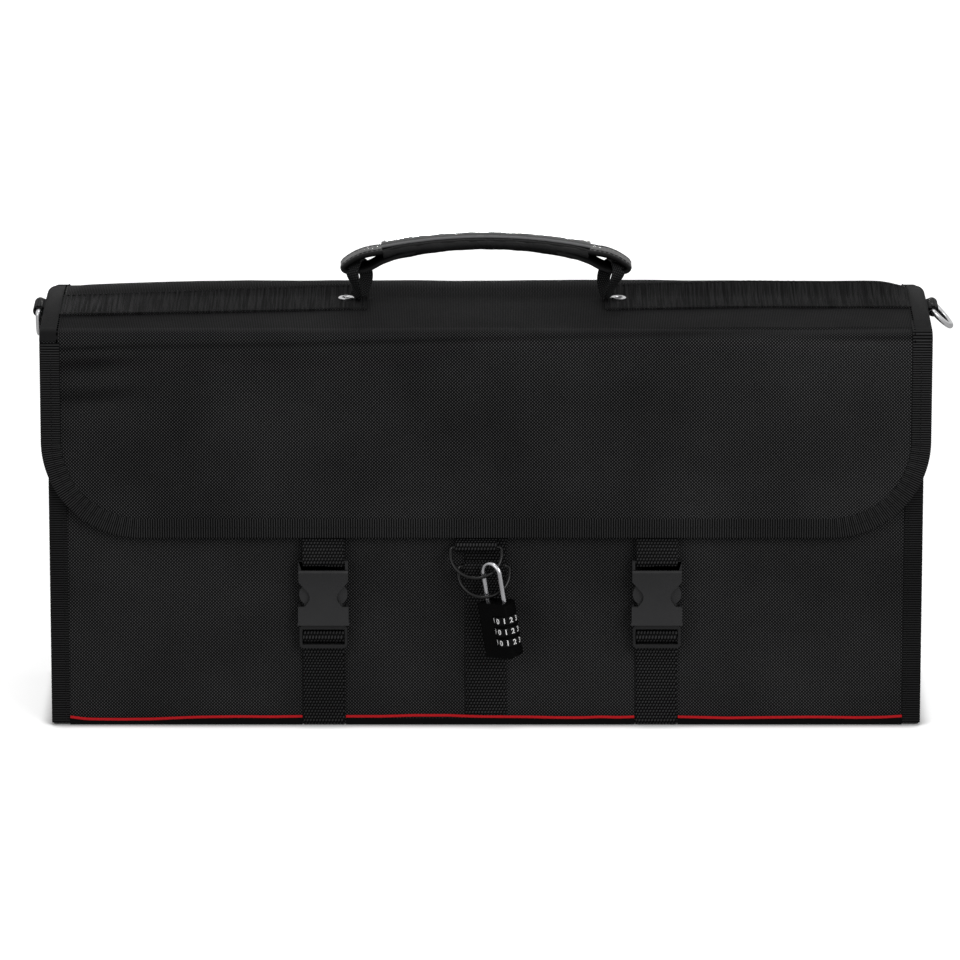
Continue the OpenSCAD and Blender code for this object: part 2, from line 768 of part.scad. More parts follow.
module upper_ring() {
    color(black_metal)
    translate([upper_ring_x, ring_bar_y, upper_bar_z]) rotate([-hasp_lean, 0, 0]) d_ring(hasp_ring_r, hasp_ring_leg, hasp_wire / 2, 1.6);
}

module lower_ring() {
    color(black_metal)
    translate([lower_ring_x, ring_bar_y, lower_bar_z]) rotate([-hasp_lean, 0, 0]) d_ring(hasp_ring_r, hasp_ring_leg, hasp_wire / 2, 1.6);
}

// Shoulder strap ring on an end of the lid, dropped by an angle below level
module side_ring(side, drop) {
    color(bright_metal)
    mirror([side > 0 ? 0 : 1, 0, 0])
    translate([side_bar_x, strip_y, side_bar_z])
    rotate([0, drop - 90, 0]) rotate([0, 0, 90]) d_ring(side_ring_r, side_ring_leg, side_wire / 2, side_ring_leg - 0.2);
}

// Padlock, drawn with the middle of its top face at the origin and the legs along Z

module at_lock() {
    translate([lock_x, lock_y, lock_top_z]) rotate([0, -lock_tilt, 0]) rotate([0, 0, -lock_yaw]) children();
}

module shackle() {
    r = shackle_wire / 2;
    half = shackle_gap / 2;
    bend_z = shackle_rise - half;
    color(bright_metal)
    at_lock() {
        translate([-half, 0, -long_leg]) cylinder(h = long_leg + bend_z + 0.001, r = r, $fn = 32);
        translate([half, 0, -short_leg]) cylinder(h = short_leg + bend_z + 0.001, r = r, $fn = 32);
        translate([0, 0, bend_z]) rotate([90, 0, 0]) rotate_extrude(angle = 180, $fn = 96) translate([half, 0]) circle(r = r, $fn = 32);
    }
}

module padlock_body() {
    r = 2.4;
    hole_r = shackle_wire / 2 + fit_gap;
    half = shackle_gap / 2;
    stack = 2 * dial_pitch + dial_t;
    color(lock_black)
    at_lock()
    difference() {
        along_y(-lock_t / 2, lock_t / 2) rounded_rect(-lock_w / 2, -lock_h, lock_w / 2, 0, r);
        // Long edges of the broad faces, rounded off
        for (x = [-1, 1], y = [-1, 1]) mirror([x > 0 ? 0 : 1, 0, 0]) mirror([0, y > 0 ? 0 : 1, 0])
            translate([lock_w / 2 - 1.6, lock_t / 2 - 1.6, -lock_h - 1]) difference() {
                cube([3, 3, lock_h + 2]);
                cylinder(h = lock_h + 2, r = 1.6, $fn = 32);
            }
        // Leg holes
        translate([-half, 0, -long_leg - 1]) cylinder(h = long_leg + 2, r = hole_r, $fn = 32);
        translate([half, 0, -short_leg - 1]) cylinder(h = short_leg + 2, r = hole_r, $fn = 32);
        // Dial slots
        for (i = [0:2]) translate([dial_x, 0, first_dial_z - i * dial_pitch])
            cylinder(h = dial_t + 2 * 0.35, r = dial_dia / 2 + 0.35, center = true, $fn = 64);
        // Spindle hole
        translate([dial_x, 0, first_dial_z + dial_t / 2 - stack - 2]) cylinder(h = stack + 4, r = spindle_r + fit_gap, $fn = 32);
    }
}

module dial_spindle() {
    stack = 2 * dial_pitch + dial_t;
    color(bright_metal)
    at_lock() translate([dial_x, 0, first_dial_z + dial_t / 2 - stack - 1.8]) cylinder(h = stack + 3.6, r = spindle_r, $fn = 32);
}

// Number dial with ten finger notches
module dial(place) {
    color(lock_black)
    at_lock()
    translate([dial_x, 0, first_dial_z - place * dial_pitch])
    difference() {
        cylinder(h = dial_t, r = dial_dia / 2, center = true, $fn = 60);
        cylinder(h = dial_t + 1, r = spindle_r + fit_gap, center = true, $fn = 32);
        for (i = [0:9]) rotate([0, 0, 36 * i]) translate([dial_dia / 2 + 0.35, 0, 0]) cylinder(h = dial_t + 1, r = 0.7, center = true, $fn = 16);
    }
}

// Knife holders

// Places a shape drawn on an upright leaf into the leaning leaf
module on_leaf() {
    translate([0, leaf_y, leaf_pivot_z]) rotate([-leaf_lean, 0, 0]) children();
}

module knife_leaf() {
    color(lining_grey)
    on_leaf() {
        block([-leaf_half_w, -leaf_t / 2, 0], [leaf_half_w, leaf_t / 2, leaf_h]);
        translate([-leaf_half_w, 0, 0]) rotate([0, 90, 0]) cylinder(h = 2 * leaf_half_w, r = leaf_t / 2, $fn = 32);
    }
}

// Sewn strip on the floor that the leaf turns in
module leaf_hinge_tape() {
    r = leaf_t / 2 + 0.35;
    color(tape)
    along_x(-leaf_half_w, leaf_half_w)
    difference() {
        translate([leaf_y - hinge_strip_half, floor_z]) square([2 * hinge_strip_half, leaf_pivot_z - floor_z + fuse]);
        translate([leaf_y, leaf_pivot_z]) circle(r = r, $fn = 40);
        for (side = [-1, 1]) mirror([side > 0 ? 0 : 1, 0]) translate([side * leaf_y + r + hinge_wall, floor_z + hinge_strip_t])
            square([hinge_strip_half, leaf_pivot_z]);
    }
}

// Flat sleeve for blades with a hem at its mouth; y is the face it is sewn on, and it stands towards -Y
module blade_sleeve_at(y, z0, h) {
    x0 = -leaf_half_w + 8;
    x1 = x0 + sleeve_w;
    block([x0, y - sleeve_t, z0], [x1, y, z0 + h]);
    block([x1 - 12, y - sleeve_t - 0.6, z0], [x1, y - sleeve_t, z0 + h]);
}

// Elastic bands sewn down between loops that stand off the face by up to rise
module bands_at(y, z0, h) {
    t = 1.2;
    rise = 3;
    pitch = h / loop_count;
    sewn = 5;
    for (x = band_xs) along_x(x - band_w / 2, x + band_w / 2)
        for (i = [0:loop_count - 1]) {
            z = z0 + i * pitch;
            translate([y - t, z - fuse]) square([t, sewn + 2 * fuse]);
            polygon([
                [y, z + sewn], [y - rise, z + sewn + 5], [y - rise, z + pitch - 5], [y, z + pitch], [y - t, z + pitch],
                [y - rise - t, z + pitch - 4.6], [y - rise - t, z + sewn + 4.6], [y - t, z + sewn]
            ]);
        }
    for (x = band_xs) block([x - band_w / 2, y - t, z0 + h - fuse], [x + band_w / 2, y, z0 + h + band_tail]);
}

module back_blade_sleeve() {
    color(lining_grey) blade_sleeve_at(inner_back, floor_z + holder_foot, back_holder_h);
}

module back_elastic_bands() {
    color(elastic) bands_at(inner_back, floor_z + holder_foot, back_holder_h - band_tail);
}

module leaf_blade_sleeve() {
    color(lining_grey) on_leaf() blade_sleeve_at(-leaf_t / 2, leaf_foot, leaf_h - leaf_foot - leaf_hem);
}

module leaf_elastic_bands() {
    color(elastic) on_leaf() bands_at(-leaf_t / 2, leaf_foot, leaf_h - leaf_foot - leaf_hem - band_tail);
}

bottom_panel();
front_panel();
back_panel();
end_panel(-1);  // left_end_panel
end_panel(1);  // right_end_panel
lining();
corner_binding(-1, true);  // front_left_binding
corner_binding(1, true);  // front_right_binding
corner_binding(-1, false);  // back_left_binding
corner_binding(1, false);  // back_right_binding
front_piping();
lower_strap(strap_xs[0]);  // left_lower_strap
lower_strap(strap_xs[1]);  // right_lower_strap
centre_strap();
lower_ring_tab();
buckle_frame(strap_xs[0]);  // left_buckle_frame
buckle_frame(strap_xs[1]);  // right_buckle_frame
rear_hinge_tape();
leaf_hinge_tape();
back_blade_sleeve();
back_elastic_bands();
lid_panel();
lid_binding(-1);  // lid_left_binding
lid_binding(1);  // lid_right_binding
top_strip(-1);  // left_top_strip
top_strip(1);  // right_top_strip
eyelet(-1);  // left_eyelet
eyelet(1);  // right_eyelet
ring_tab(-1);  // left_ring_tab
ring_tab(1);  // right_ring_tab
flap_panel();
flap_binding();
upper_strap(strap_xs[0]);  // left_upper_strap
upper_strap(strap_xs[1]);  // right_upper_strap
buckle_socket(strap_xs[0]);  // left_buckle_socket
buckle_socket(strap_xs[1]);  // right_buckle_socket
upper_ring_tab();
handle_strap();
grip_sleeve();
handle_loop(-1);  // left_handle_loop
handle_loop(1);  // right_handle_loop
upper_ring();
lower_ring();
side_ring(-1, left_ring_drop);  // left_side_ring
side_ring(1, right_ring_drop);  // right_side_ring
shackle();
padlock_body();
dial_spindle();
dial(0);  // top_dial
dial(1);  // middle_dial
dial(2);  // bottom_dial
prong(strap_xs[0], -1);  // left_buckle_left_prong
prong(strap_xs[0], 1);  // left_buckle_right_prong
prong(strap_xs[1], -1);  // right_buckle_left_prong
prong(strap_xs[1], 1);  // right_buckle_right_prong
knife_leaf();
leaf_blade_sleeve();
leaf_elastic_bands();
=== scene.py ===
"""Dressed model of a board-stiffened fabric knife case: hinged lid, front flap, buckles and a padlock."""
import logging
import math
from collections.abc import Iterable
from dataclasses import dataclass, field
from enum import Enum

import bmesh
import bpy
from mathutils import Matrix, Vector, noise


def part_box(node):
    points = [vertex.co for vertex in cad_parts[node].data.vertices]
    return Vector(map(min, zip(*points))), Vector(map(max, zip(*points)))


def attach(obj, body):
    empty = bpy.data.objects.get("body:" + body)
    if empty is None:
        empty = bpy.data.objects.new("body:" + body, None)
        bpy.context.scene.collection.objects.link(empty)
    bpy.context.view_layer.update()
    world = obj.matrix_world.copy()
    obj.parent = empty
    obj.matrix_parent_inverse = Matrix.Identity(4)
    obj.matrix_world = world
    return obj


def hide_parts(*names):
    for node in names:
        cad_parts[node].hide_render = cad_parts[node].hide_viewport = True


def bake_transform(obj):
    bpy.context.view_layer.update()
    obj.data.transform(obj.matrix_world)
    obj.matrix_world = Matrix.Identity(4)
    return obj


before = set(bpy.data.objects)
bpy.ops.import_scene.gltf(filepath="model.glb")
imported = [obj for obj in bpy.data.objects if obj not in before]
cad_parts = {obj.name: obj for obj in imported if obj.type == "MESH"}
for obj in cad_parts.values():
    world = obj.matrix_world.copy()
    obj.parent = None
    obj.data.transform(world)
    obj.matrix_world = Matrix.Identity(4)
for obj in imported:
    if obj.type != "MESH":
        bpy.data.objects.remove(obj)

LOG = logging.getLogger("knife_case")
MM = 0.001
IMAGE_PX = 960
SEAM_SEED = 11
BODY_HALF_W = 262 * MM
BODY_HALF_D = 58 * MM
RIM_Z = 240 * MM
FLAT_TOP_Z = 226 * MM
HANDLE_Y = 12 * MM
TAPE_PITCH = 1.45 * MM
# The case cloth's colour in the gaps between threads, which is painted shade, and on the threads' tops.
CASE_CLOTH = (0.0006, 0.0006, 0.0007), (0.074, 0.074, 0.0755)
DIALS = ("top", "middle", "bottom")
AXIS_X, AXIS_Y, AXIS_Z = Vector((1, 0, 0)), Vector((0, 1, 0)), Vector((0, 0, 1))

Pair = tuple[float, float]
Triple = tuple[float, float, float]
Line = tuple[Pair, ...]
Object = bpy.types.Object
Material = bpy.types.Material
Socket = bpy.types.NodeSocket
Node = bpy.types.Node


class Side(Enum):
    """The two ends of the case, seen from the front."""

    LEFT = -1
    RIGHT = 1

    @property
    def word(self) -> str:
        """The side's name as it stands in piece and node names."""
        return self.name.lower()


class Weave(Enum):
    """How a cloth's threads cross."""

    PLAIN = "plain"
    RIB = "rib"
    FLOAT = "float"


# Meshes


@dataclass
class Station:
    """One place along a swept strip.

    Args:
        at: The point that the profile's origin lies on.
        across: The direction of the profile's first axis.
        out: The direction of the profile's second axis.
        run: The length travelled from the strip's start, in metres.
    """

    at: Vector
    across: Vector
    out: Vector
    run: float = 0.0


def high(node: str) -> Vector:
    """The highest corner of a CAD node, in metres."""
    return Vector(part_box(node)[1])


def linked(name: str, data: bpy.types.ID) -> Object:
    """A new object at the origin for a mesh, curve, lamp or camera, linked into the scene."""
    made = bpy.data.objects.new(name, data)
    bpy.context.scene.collection.objects.link(made)
    return made


def mesh_object(name: str, bm: bmesh.types.BMesh) -> Object:
    """A new object for a bmesh, which is freed."""
    mesh = bpy.data.meshes.new(name)
    bm.to_mesh(mesh)
    bm.free()
    return linked(name, mesh)


def between(start: float, end: float, count: int) -> list[float]:
    """Evenly spaced numbers from start to end, both included."""
    return [start + (end - start) * i / count for i in range(count + 1)]


def object_from_bmesh(name: str, bm: bmesh.types.BMesh, sharp: float = 40.0) -> Object:
    """Makes a smooth-shaded object at the origin from a bmesh.

    Args:
        name: The object's name.
        bm: The shape, which is freed.
        sharp: Edges bent by more than this many degrees stay sharp.

    Returns:
        The new object, linked into the scene.
    """
    bmesh.ops.recalc_face_normals(bm, faces=bm.faces)
    limit = math.radians(sharp)
    for face in bm.faces:
        face.smooth = True
    for edge in bm.edges:
        edge.smooth = len(edge.link_faces) == 2 and edge.calc_face_angle(0.0) < limit
    return mesh_object(name, bm)


def arc_points(centre: Pair, radius: float, start: float, end: float, steps: int) -> list[Pair]:
    """Points on a circle's arc in a plane.

    Args:
        centre: The circle's middle.
        radius: Its radius.
        start: The first angle in degrees.
        end: The last angle in degrees.
        steps: The number of steps between them.

    Returns:
        The points, both ends included.
    """
    turn = [math.radians(start + (end - start) * i / steps) for i in range(steps + 1)]
    return [(centre[0] + radius * math.cos(a), centre[1] + radius * math.sin(a)) for a in turn]


def smooth_path(points: list[Vector], step: float) -> list[Vector]:
    """A Catmull-Rom curve through points, cut into equal steps.

    Args:
        points: The points to pass through.
        step: The wanted length of a step, in metres.

    Returns:
        The evenly spaced points.
    """
    ends = [points[0] * 2 - points[1], *points, points[-1] * 2 - points[-2]]
    fine: list[Vector] = []
    parts = 16
    for i in range(1, len(ends) - 2):
        p0, p1, p2, p3 = ends[i - 1], ends[i], ends[i + 1], ends[i + 2]
        for k in range(parts):
            t = k / parts
            square, cubic = 2 * p0 - 5 * p1 + 4 * p2 - p3, 3 * p1 - p0 - 3 * p2 + p3
            fine.append(0.5 * (2 * p1 + (p2 - p0) * t + square * t * t + cubic * t**3))
    fine.append(points[-1])
    return resample(fine, step)


def path_yz(x: float, points: list[Pair], step: float = 0.8 * MM) -> list[Vector]:
    """A smooth path through (depth, height) places in millimetres, in the upright plane at x."""
    return smooth_path([Vector((x, y * MM, z * MM)) for y, z in points], step)


def resample(points: list[Vector], step: float) -> list[Vector]:
    """Cuts a polyline into equal steps.

    Args:
        points: The polyline.
        step: The wanted length of a step, in metres.

    Returns:
        Evenly spaced points, both ends included.
    """
    lengths = [0.0]
    for a, b in zip(points, points[1:]):
        lengths.append(lengths[-1] + (b - a).length)
    count = max(2, round(lengths[-1] / step))
    out: list[Vector] = []
    i = 0
    for k in range(count + 1):
        want = lengths[-1] * k / count
        while i < len(lengths) - 2 and lengths[i + 1] < want:
            i += 1
        span = lengths[i + 1] - lengths[i]
        out.append(points[i].lerp(points[i + 1], 0 if span < 1e-12 else (want - lengths[i]) / span))
    return out


def tangent_at(points: list[Vector], i: int) -> Vector:
    """The direction of a polyline at one of its points."""
    return (points[min(i + 1, len(points) - 1)] - points[max(i - 1, 0)]).normalized()


def straight(start: Vector, end: Vector, count: int, across: Vector, out: Vector) -> list[Station]:
    """Evenly spaced stations on a straight line, with both profile directions held."""
    way = end - start
    return [Station(start + way * (i / count), across, out, way.length * i / count) for i in range(count + 1)]


def stations_along(
    points: list[Vector], across: Vector | None = None, out: Vector | None = None
) -> list[Station]:
    """Stations on a polyline, with one profile direction held and the other square to the path.

    Args:
        points: The path.
        across: The held first direction, or None.
        out: The held second direction, used where across is None.

    Returns:
        One station for each point.
    """
    made: list[Station] = []
    run = 0.0
    for i, at in enumerate(points):
        tangent = tangent_at(points, i)
        if i:
            run += (at - points[i - 1]).length
        if across is not None:
            made.append(Station(at, across, across.cross(tangent).normalized(), run))
        else:
            made.append(Station(at, tangent.cross(out).normalized(), out, run))
    return made


def lay(face: bmesh.types.BMFace, uv: bmesh.types.BMLayerItem, places: Iterable[Pair]) -> None:
    """Puts a face's corners at their places on the weave."""
    for loop, place in zip(face.loops, places):
        loop[uv].uv = place


def sweep(
    name: str, stations: list[Station], profile: list[Pair], ribbed: list[float] | None = None
) -> Object:
    """Sweeps a closed profile along stations.

    The mesh carries a UV map named weave in metres, run along u and round the profile along v, and point
    attributes named run and ribbed that the rib tree reads.

    Args:
        name: The object's name.
        stations: The places along the path.
        profile: The closed profile as (across, out) pairs in metres.
        ribbed: How strongly each profile point takes the ribs, 0 to 1.

    Returns:
        The swept object.
    """
    bm = bmesh.new()
    uv = bm.loops.layers.uv.new("weave")
    run_layer = bm.verts.layers.float.new("run")
    rib_layer = bm.verts.layers.float.new("ribbed")
    girth = [0.0]
    count = len(profile)
    for i in range(count):
        a, b = profile[i], profile[(i + 1) % count]
        girth.append(girth[-1] + math.hypot(b[0] - a[0], b[1] - a[1]))
    rings = []
    for station in stations:
        ring = []
        for k, (a, h) in enumerate(profile):
            vert = bm.verts.new(station.at + station.across * a + station.out * h)
            vert[run_layer] = station.run
            vert[rib_layer] = ribbed[k] if ribbed else 0.0
            ring.append(vert)
        rings.append(ring)
    for i in range(len(stations) - 1):
        u0, u1 = stations[i].run, stations[i + 1].run
        for k in range(count):
            n = (k + 1) % count
            face = bm.faces.new((rings[i][k], rings[i][n], rings[i + 1][n], rings[i + 1][k]))
            v0, v1 = girth[k], girth[k + 1]
            lay(face, uv, ((u0, v0), (u0, v1), (u1, v1), (u1, v0)))
    for ring in (rings[0], rings[-1]):
        lay(bm.faces.new(ring), uv, profile)
    return object_from_bmesh(name, bm)


def slab_profile(width: float, thick: float, cuts: int, crown: float = 0.0) -> list[Pair]:
    """A flat strip's profile with round edges, lying on its first axis.

    Args:
        width: The strip's width.
        thick: Its thickness.
        cuts: Segments across each face.
        crown: How far the upper face rises in the middle.

    Returns:
        The profile.
    """
    half, r = width / 2, thick / 2
    places = [half - r - (width - thick) * i / cuts for i in range(cuts + 1)]
    top = [(a, thick + crown * (1 - (a / half) ** 2)) for a in places]
    left = arc_points((-half + r, r), r, 112, 248, 4)
    bottom = [(-a, 0.0) for a in places]
    right = arc_points((half - r, r), r, -68, 68, 4)
    return top + left + bottom + right


def ringed_object(name: str, rows: list[list[Vector]], uvs: list[list[Pair]]) -> Object:
    """A closed tube of quads through rings of points, with its two ends filled.

    Args:
        name: The object's name.
        rows: The rings' points, ring by ring.
        uvs: Each point's place on the weave, in metres, with one more for the ring's first point again.

    Returns:
        The new object.
    """
    bm = bmesh.new()
    uv = bm.loops.layers.uv.new("weave")
    verts = [[bm.verts.new(p) for p in row] for row in rows]
    columns = len(rows[0])
    for j in range(len(rows) - 1):
        for i in range(columns):
            n = (i + 1) % columns
            face = bm.faces.new((verts[j][i], verts[j][n], verts[j + 1][n], verts[j + 1][i]))
            lay(face, uv, (uvs[j][i], uvs[j][i + 1], uvs[j + 1][i + 1], uvs[j + 1][i]))
    for row, places in ((verts[0], uvs[0]), (verts[-1], uvs[-1])):
        lay(bm.faces.new(row), uv, places)
    return object_from_bmesh(name, bm)


def lathe(name: str, profile: list[Pair], centre: Vector) -> Object:
    """Turns a closed profile of (radius, height) pairs round an upright axis.

    Args:
        name: The object's name.
        profile: The closed profile, in metres.
        centre: The place of its axis and of height 0.

    Returns:
        The turned object.
    """
    bm = bmesh.new()
    rings, steps = [], 48
    for k in range(steps):
        a = 2 * math.pi * k / steps
        places = [Vector((r * math.cos(a), r * math.sin(a), z)) for r, z in profile]
        rings.append([bm.verts.new(centre + place) for place in places])
    for k in range(steps):
        this, after = rings[k], rings[(k + 1) % steps]
        for i in range(len(profile)):
            n = (i + 1) % len(profile)
            bm.faces.new((this[i], this[n], after[n], after[i]))
    return object_from_bmesh(name, bm)


def join(name: str, objects: list[Object]) -> Object:
    """Joins objects at the origin into one mesh.

    Args:
        name: The joined object's name.
        objects: The objects, which are removed.

    Returns:
        The joined object.
    """
    bm = bmesh.new()
    for part in objects:
        bm.from_mesh(part.data)
    made = mesh_object(name, bm)
    for part in objects:
        old = part.data
        bpy.data.objects.remove(part)
        bpy.data.meshes.remove(old)
    return made


def bevel(obj: Object, width: float, segments: int) -> None:
    """Rounds an object's sharp edges with a live Bevel modifier.

    Args:
        obj: The object.
        width: The rounding's width in metres.
        segments: The segments of a rounding.
    """
    modifier = obj.modifiers.new("Rounding", "BEVEL")
    modifier.width = width
    modifier.segments = segments
    modifier.limit_method = "ANGLE"
    modifier.angle_limit = math.radians(30)
    modifier.use_clamp_overlap = True


def mark(obj: Object, name: str, values: list[float]) -> None:
    """Keeps one number for each of an object's points, for its finish to read."""
    layer = obj.data.attributes.new(name, "FLOAT", "POINT")
    layer.data.foreach_set("value", values)


def dress(obj: Object, material: Material) -> Object:
    """Gives an object one material.

    Args:
        obj: The object.
        material: Its finish.

    Returns:
        The same object.
    """
    if obj.data.materials:
        for i in range(len(obj.data.materials)):
            obj.data.materials[i] = material
    else:
        obj.data.materials.append(material)
    return obj


def seat(obj: Object, body: str, slot: str, *nodes: str) -> None:
    """Rides a finished piece on a body and hides the CAD nodes that it replaces.

    Args:
        obj: The piece.
        body: The CAD body that carries it.
        slot: The record's material slot; not used.
        nodes: The CAD nodes that it replaces.
    """
    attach(obj, body)
    if nodes:
        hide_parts(*nodes)
    LOG.info("%s rides on %s", obj.name, body)


def merged_copy(node: str, name: str, sharp: float) -> Object:
    """Copies a CAD node as one joined, smooth-shaded mesh.

    Args:
        node: The CAD node.
        name: The copy's name.
        sharp: Edges bent by more than this many degrees stay sharp.

    Returns:
        The copy.
    """
    bm = bmesh.new()
    bm.from_mesh(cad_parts[node].data)
    bmesh.ops.remove_doubles(bm, verts=bm.verts, dist=0.002 * MM)
    bmesh.ops.dissolve_limit(bm, angle_limit=math.radians(0.5), verts=bm.verts, edges=bm.edges)
    return object_from_bmesh(name, bm, sharp)


# Geometry Nodes


class NodeTree:
    """A node tree, with short calls for its nodes."""

    def __init__(self, tree: bpy.types.NodeTree) -> None:
        """Takes a tree and empties it.

        Args:
            tree: The tree.
        """
        self.tree = tree
        self.tree.nodes.clear()

    def node(self, kind: str, links: dict | None = None, **settings: object) -> Node:
        """Adds a node.

        Args:
            kind: The node's type.
            links: Input names or numbers with the socket or value that each takes.
            settings: Properties of the node.

        Returns:
            The node.
        """
        made = self.tree.nodes.new(kind)
        for key, value in settings.items():
            setattr(made, key, value)
        for key, value in (links or {}).items():
            if isinstance(value, Socket):
                self.tree.links.new(value, made.inputs[key])
            else:
                made.inputs[key].default_value = value
        return made

    def math(self, operation: str, a: object, b: object = 0.0, c: object = 0.0) -> Socket:
        """A Math node's result for sockets or numbers."""
        return self.node("ShaderNodeMath", {0: a, 1: b, 2: c}, operation=operation).outputs[0]

    def times(self, a: object, b: object) -> Socket:
        """The product of two sockets or numbers."""
        return self.math("MULTIPLY", a, b)

    def plus(self, a: object, b: object) -> Socket:
        """The sum of two sockets or numbers."""
        return self.math("ADD", a, b)

    def scaled(self, vector: Socket, scale: object) -> Socket:
        """A vector times a number."""
        return self.node("ShaderNodeVectorMath", {0: vector, "Scale": scale}, operation="SCALE").outputs[0]


class NodeTool(NodeTree):
    """A Geometry Nodes tree built in the script and applied to plain meshes."""

    def __init__(self, name: str) -> None:
        """Starts an empty tree with a geometry input and output.

        Args:
            name: The tree's name.
        """
        super().__init__(bpy.data.node_groups.new(name, "GeometryNodeTree"))
        for in_out in ("INPUT", "OUTPUT"):
            self.tree.interface.new_socket("Geometry", in_out=in_out, socket_type="NodeSocketGeometry")
        self.inputs = self.tree.nodes.new("NodeGroupInput")
        self.outputs = self.tree.nodes.new("NodeGroupOutput")

    def size(self, name: str, kind: str = "NodeSocketFloat") -> Socket:
        """Adds a named input and returns its socket inside the tree."""
        self.tree.interface.new_socket(name, in_out="INPUT", socket_type=kind)
        return self.inputs.outputs[name]

    def attribute(self, name: str) -> Socket:
        """The number that the mesh keeps for each point under a name."""
        return self.node("GeometryNodeInputNamedAttribute", {"Name": name}, data_type="FLOAT").outputs[0]

    def finish(self, geometry: Socket, material: Socket) -> None:
        """Ends the tree in Realize Instances and Set Material."""
        real = self.node("GeometryNodeRealizeInstances", {"Geometry": geometry})
        done = self.node("GeometryNodeSetMaterial", {"Geometry": real.outputs[0], "Material": material})
        self.tree.links.new(done.outputs[0], self.outputs.inputs[0])

    def apply(self, obj: Object, values: dict[str, object]) -> None:
        """Runs the tree on an object and keeps the result as its plain mesh.

        Args:
            obj: The object, which keeps its name.
            values: The value of each named input.
        """
        modifier = obj.modifiers.new(self.tree.name, "NODES")
        modifier.node_group = self.tree
        for item in self.tree.interface.items_tree:
            if item.in_out == "INPUT" and item.name in values:
                modifier[item.identifier] = values[item.name]
        graph = bpy.context.evaluated_depsgraph_get()
        mesh = bpy.data.meshes.new_from_object(obj.evaluated_get(graph))
        obj.modifiers.remove(modifier)
        old = obj.data
        obj.data = mesh
        mesh.name = obj.name
        bpy.data.meshes.remove(old)


class RibTool(NodeTool):
    """Raises ribs across a swept tape, at a pitch along its run."""

    def __init__(self) -> None:
        """Builds the tree."""
        super().__init__("Ribs")
        geometry = self.inputs.outputs[0]
        pitch = self.size("Rib pitch")
        height = self.size("Rib height")
        uneven = self.size("Unevenness")
        material = self.size("Material", "NodeSocketMaterial")
        run = self.attribute("run")
        ribbed = self.attribute("ribbed")
        turns = self.math("DIVIDE", run, pitch)
        links = {"W": self.times(turns, 0.45), "Detail": 1.0}
        drift = self.node("ShaderNodeTexNoise", links, noise_dimensions="1D").outputs["Fac"]
        turns = self.plus(turns, self.times(self.math("SUBTRACT", drift, 0.5), uneven))
        phase = self.times(turns, 2 * math.pi)
        wave = self.plus(self.times(self.math("COSINE", phase), 0.5), -0.5)
        lift = self.times(self.times(wave, height), ribbed)
        normal = self.node("GeometryNodeInputNormal").outputs[0]
        offset = self.scaled(normal, lift)
        moved = self.node("GeometryNodeSetPosition", {"Geometry": geometry, "Offset": offset}).outputs[0]
        self.finish(moved, material)

    def rib(self, obj: Object, pitch: float, height: float, material: Material, uneven: float = 0.0) -> None:
        """Ribs one swept tape.

        Args:
            obj: The tape, made by sweep().
            pitch: The distance from rib to rib.
            height: How deep the grooves are.
            material: The tape's finish.
            uneven: How far the ribs stray from even spacing, in pitches.
        """
        values = {"Rib pitch": pitch, "Rib height": height, "Unevenness": uneven, "Material": material}
        self.apply(obj, values)


@dataclass(frozen=True)
class Stitch:
    """Sizes of a sewn row.

    Args:
        pitch: The distance from stitch to stitch.
        length: A stitch's visible length.
        width: The thread's width.
    """

    pitch: float = 3.2 * MM
    length: float = 2.5 * MM
    width: float = 0.55 * MM


class StitchTool(NodeTool):
    """Lays a row of thread stitches along polylines."""

    def __init__(self) -> None:
        """Builds the tree."""
        super().__init__("Stitches")
        geometry = self.inputs.outputs[0]
        pitch = self.size("Stitch pitch")
        length = self.size("Stitch length")
        width = self.size("Thread width")
        seed = self.size("Seed", "NodeSocketInt")
        material = self.size("Material", "NodeSocketMaterial")
        curve = self.node("GeometryNodeMeshToCurve", {0: geometry}).outputs[0]
        links = {"Curve": curve, "Length": pitch}
        spaced = self.node("GeometryNodeResampleCurve", links, mode="LENGTH").outputs[0]
        ball = self.node("GeometryNodeMeshUVSphere", {"Segments": 8, "Rings": 5, "Radius": 0.5}).outputs[0]
        tangent = self.node("GeometryNodeInputTangent").outputs[0]
        aim = self.node("FunctionNodeAlignRotationToVector", {"Vector": tangent}, axis="X").outputs[0]
        scale = self.node("ShaderNodeCombineXYZ", {0: length, 1: width, 2: width}).outputs[0]
        links = {"Min": 0.9, "Max": 1.08, "Seed": seed}
        factor = self.node("FunctionNodeRandomValue", links, data_type="FLOAT").outputs["Value"]
        varied = self.scaled(scale, factor)
        links = {"Points": spaced, "Instance": ball, "Rotation": aim, "Scale": varied}
        self.finish(self.node("GeometryNodeInstanceOnPoints", links).outputs[0], material)

    def sew(self, name: str, rows: list[list[Vector]], material: Material, size: Stitch) -> Object:
        """Makes one object of stitches.

        Args:
            name: The object's name.
            rows: The seams as polylines.
            material: The thread's finish.
            size: The stitches' sizes.

        Returns:
            The stitches as one mesh.
        """
        bm = bmesh.new()
        for row in rows:
            verts = [bm.verts.new(p) for p in row]
            for a, b in zip(verts, verts[1:]):
                bm.edges.new((a, b))
        made = mesh_object(name, bm)
        values = {
            "Stitch pitch": size.pitch, "Stitch length": size.length, "Thread width": size.width,
            "Seed": SEAM_SEED, "Material": material,
        }
        self.apply(made, values)
        for polygon in made.data.polygons:
            polygon.use_smooth = True
        return made


# Finishes


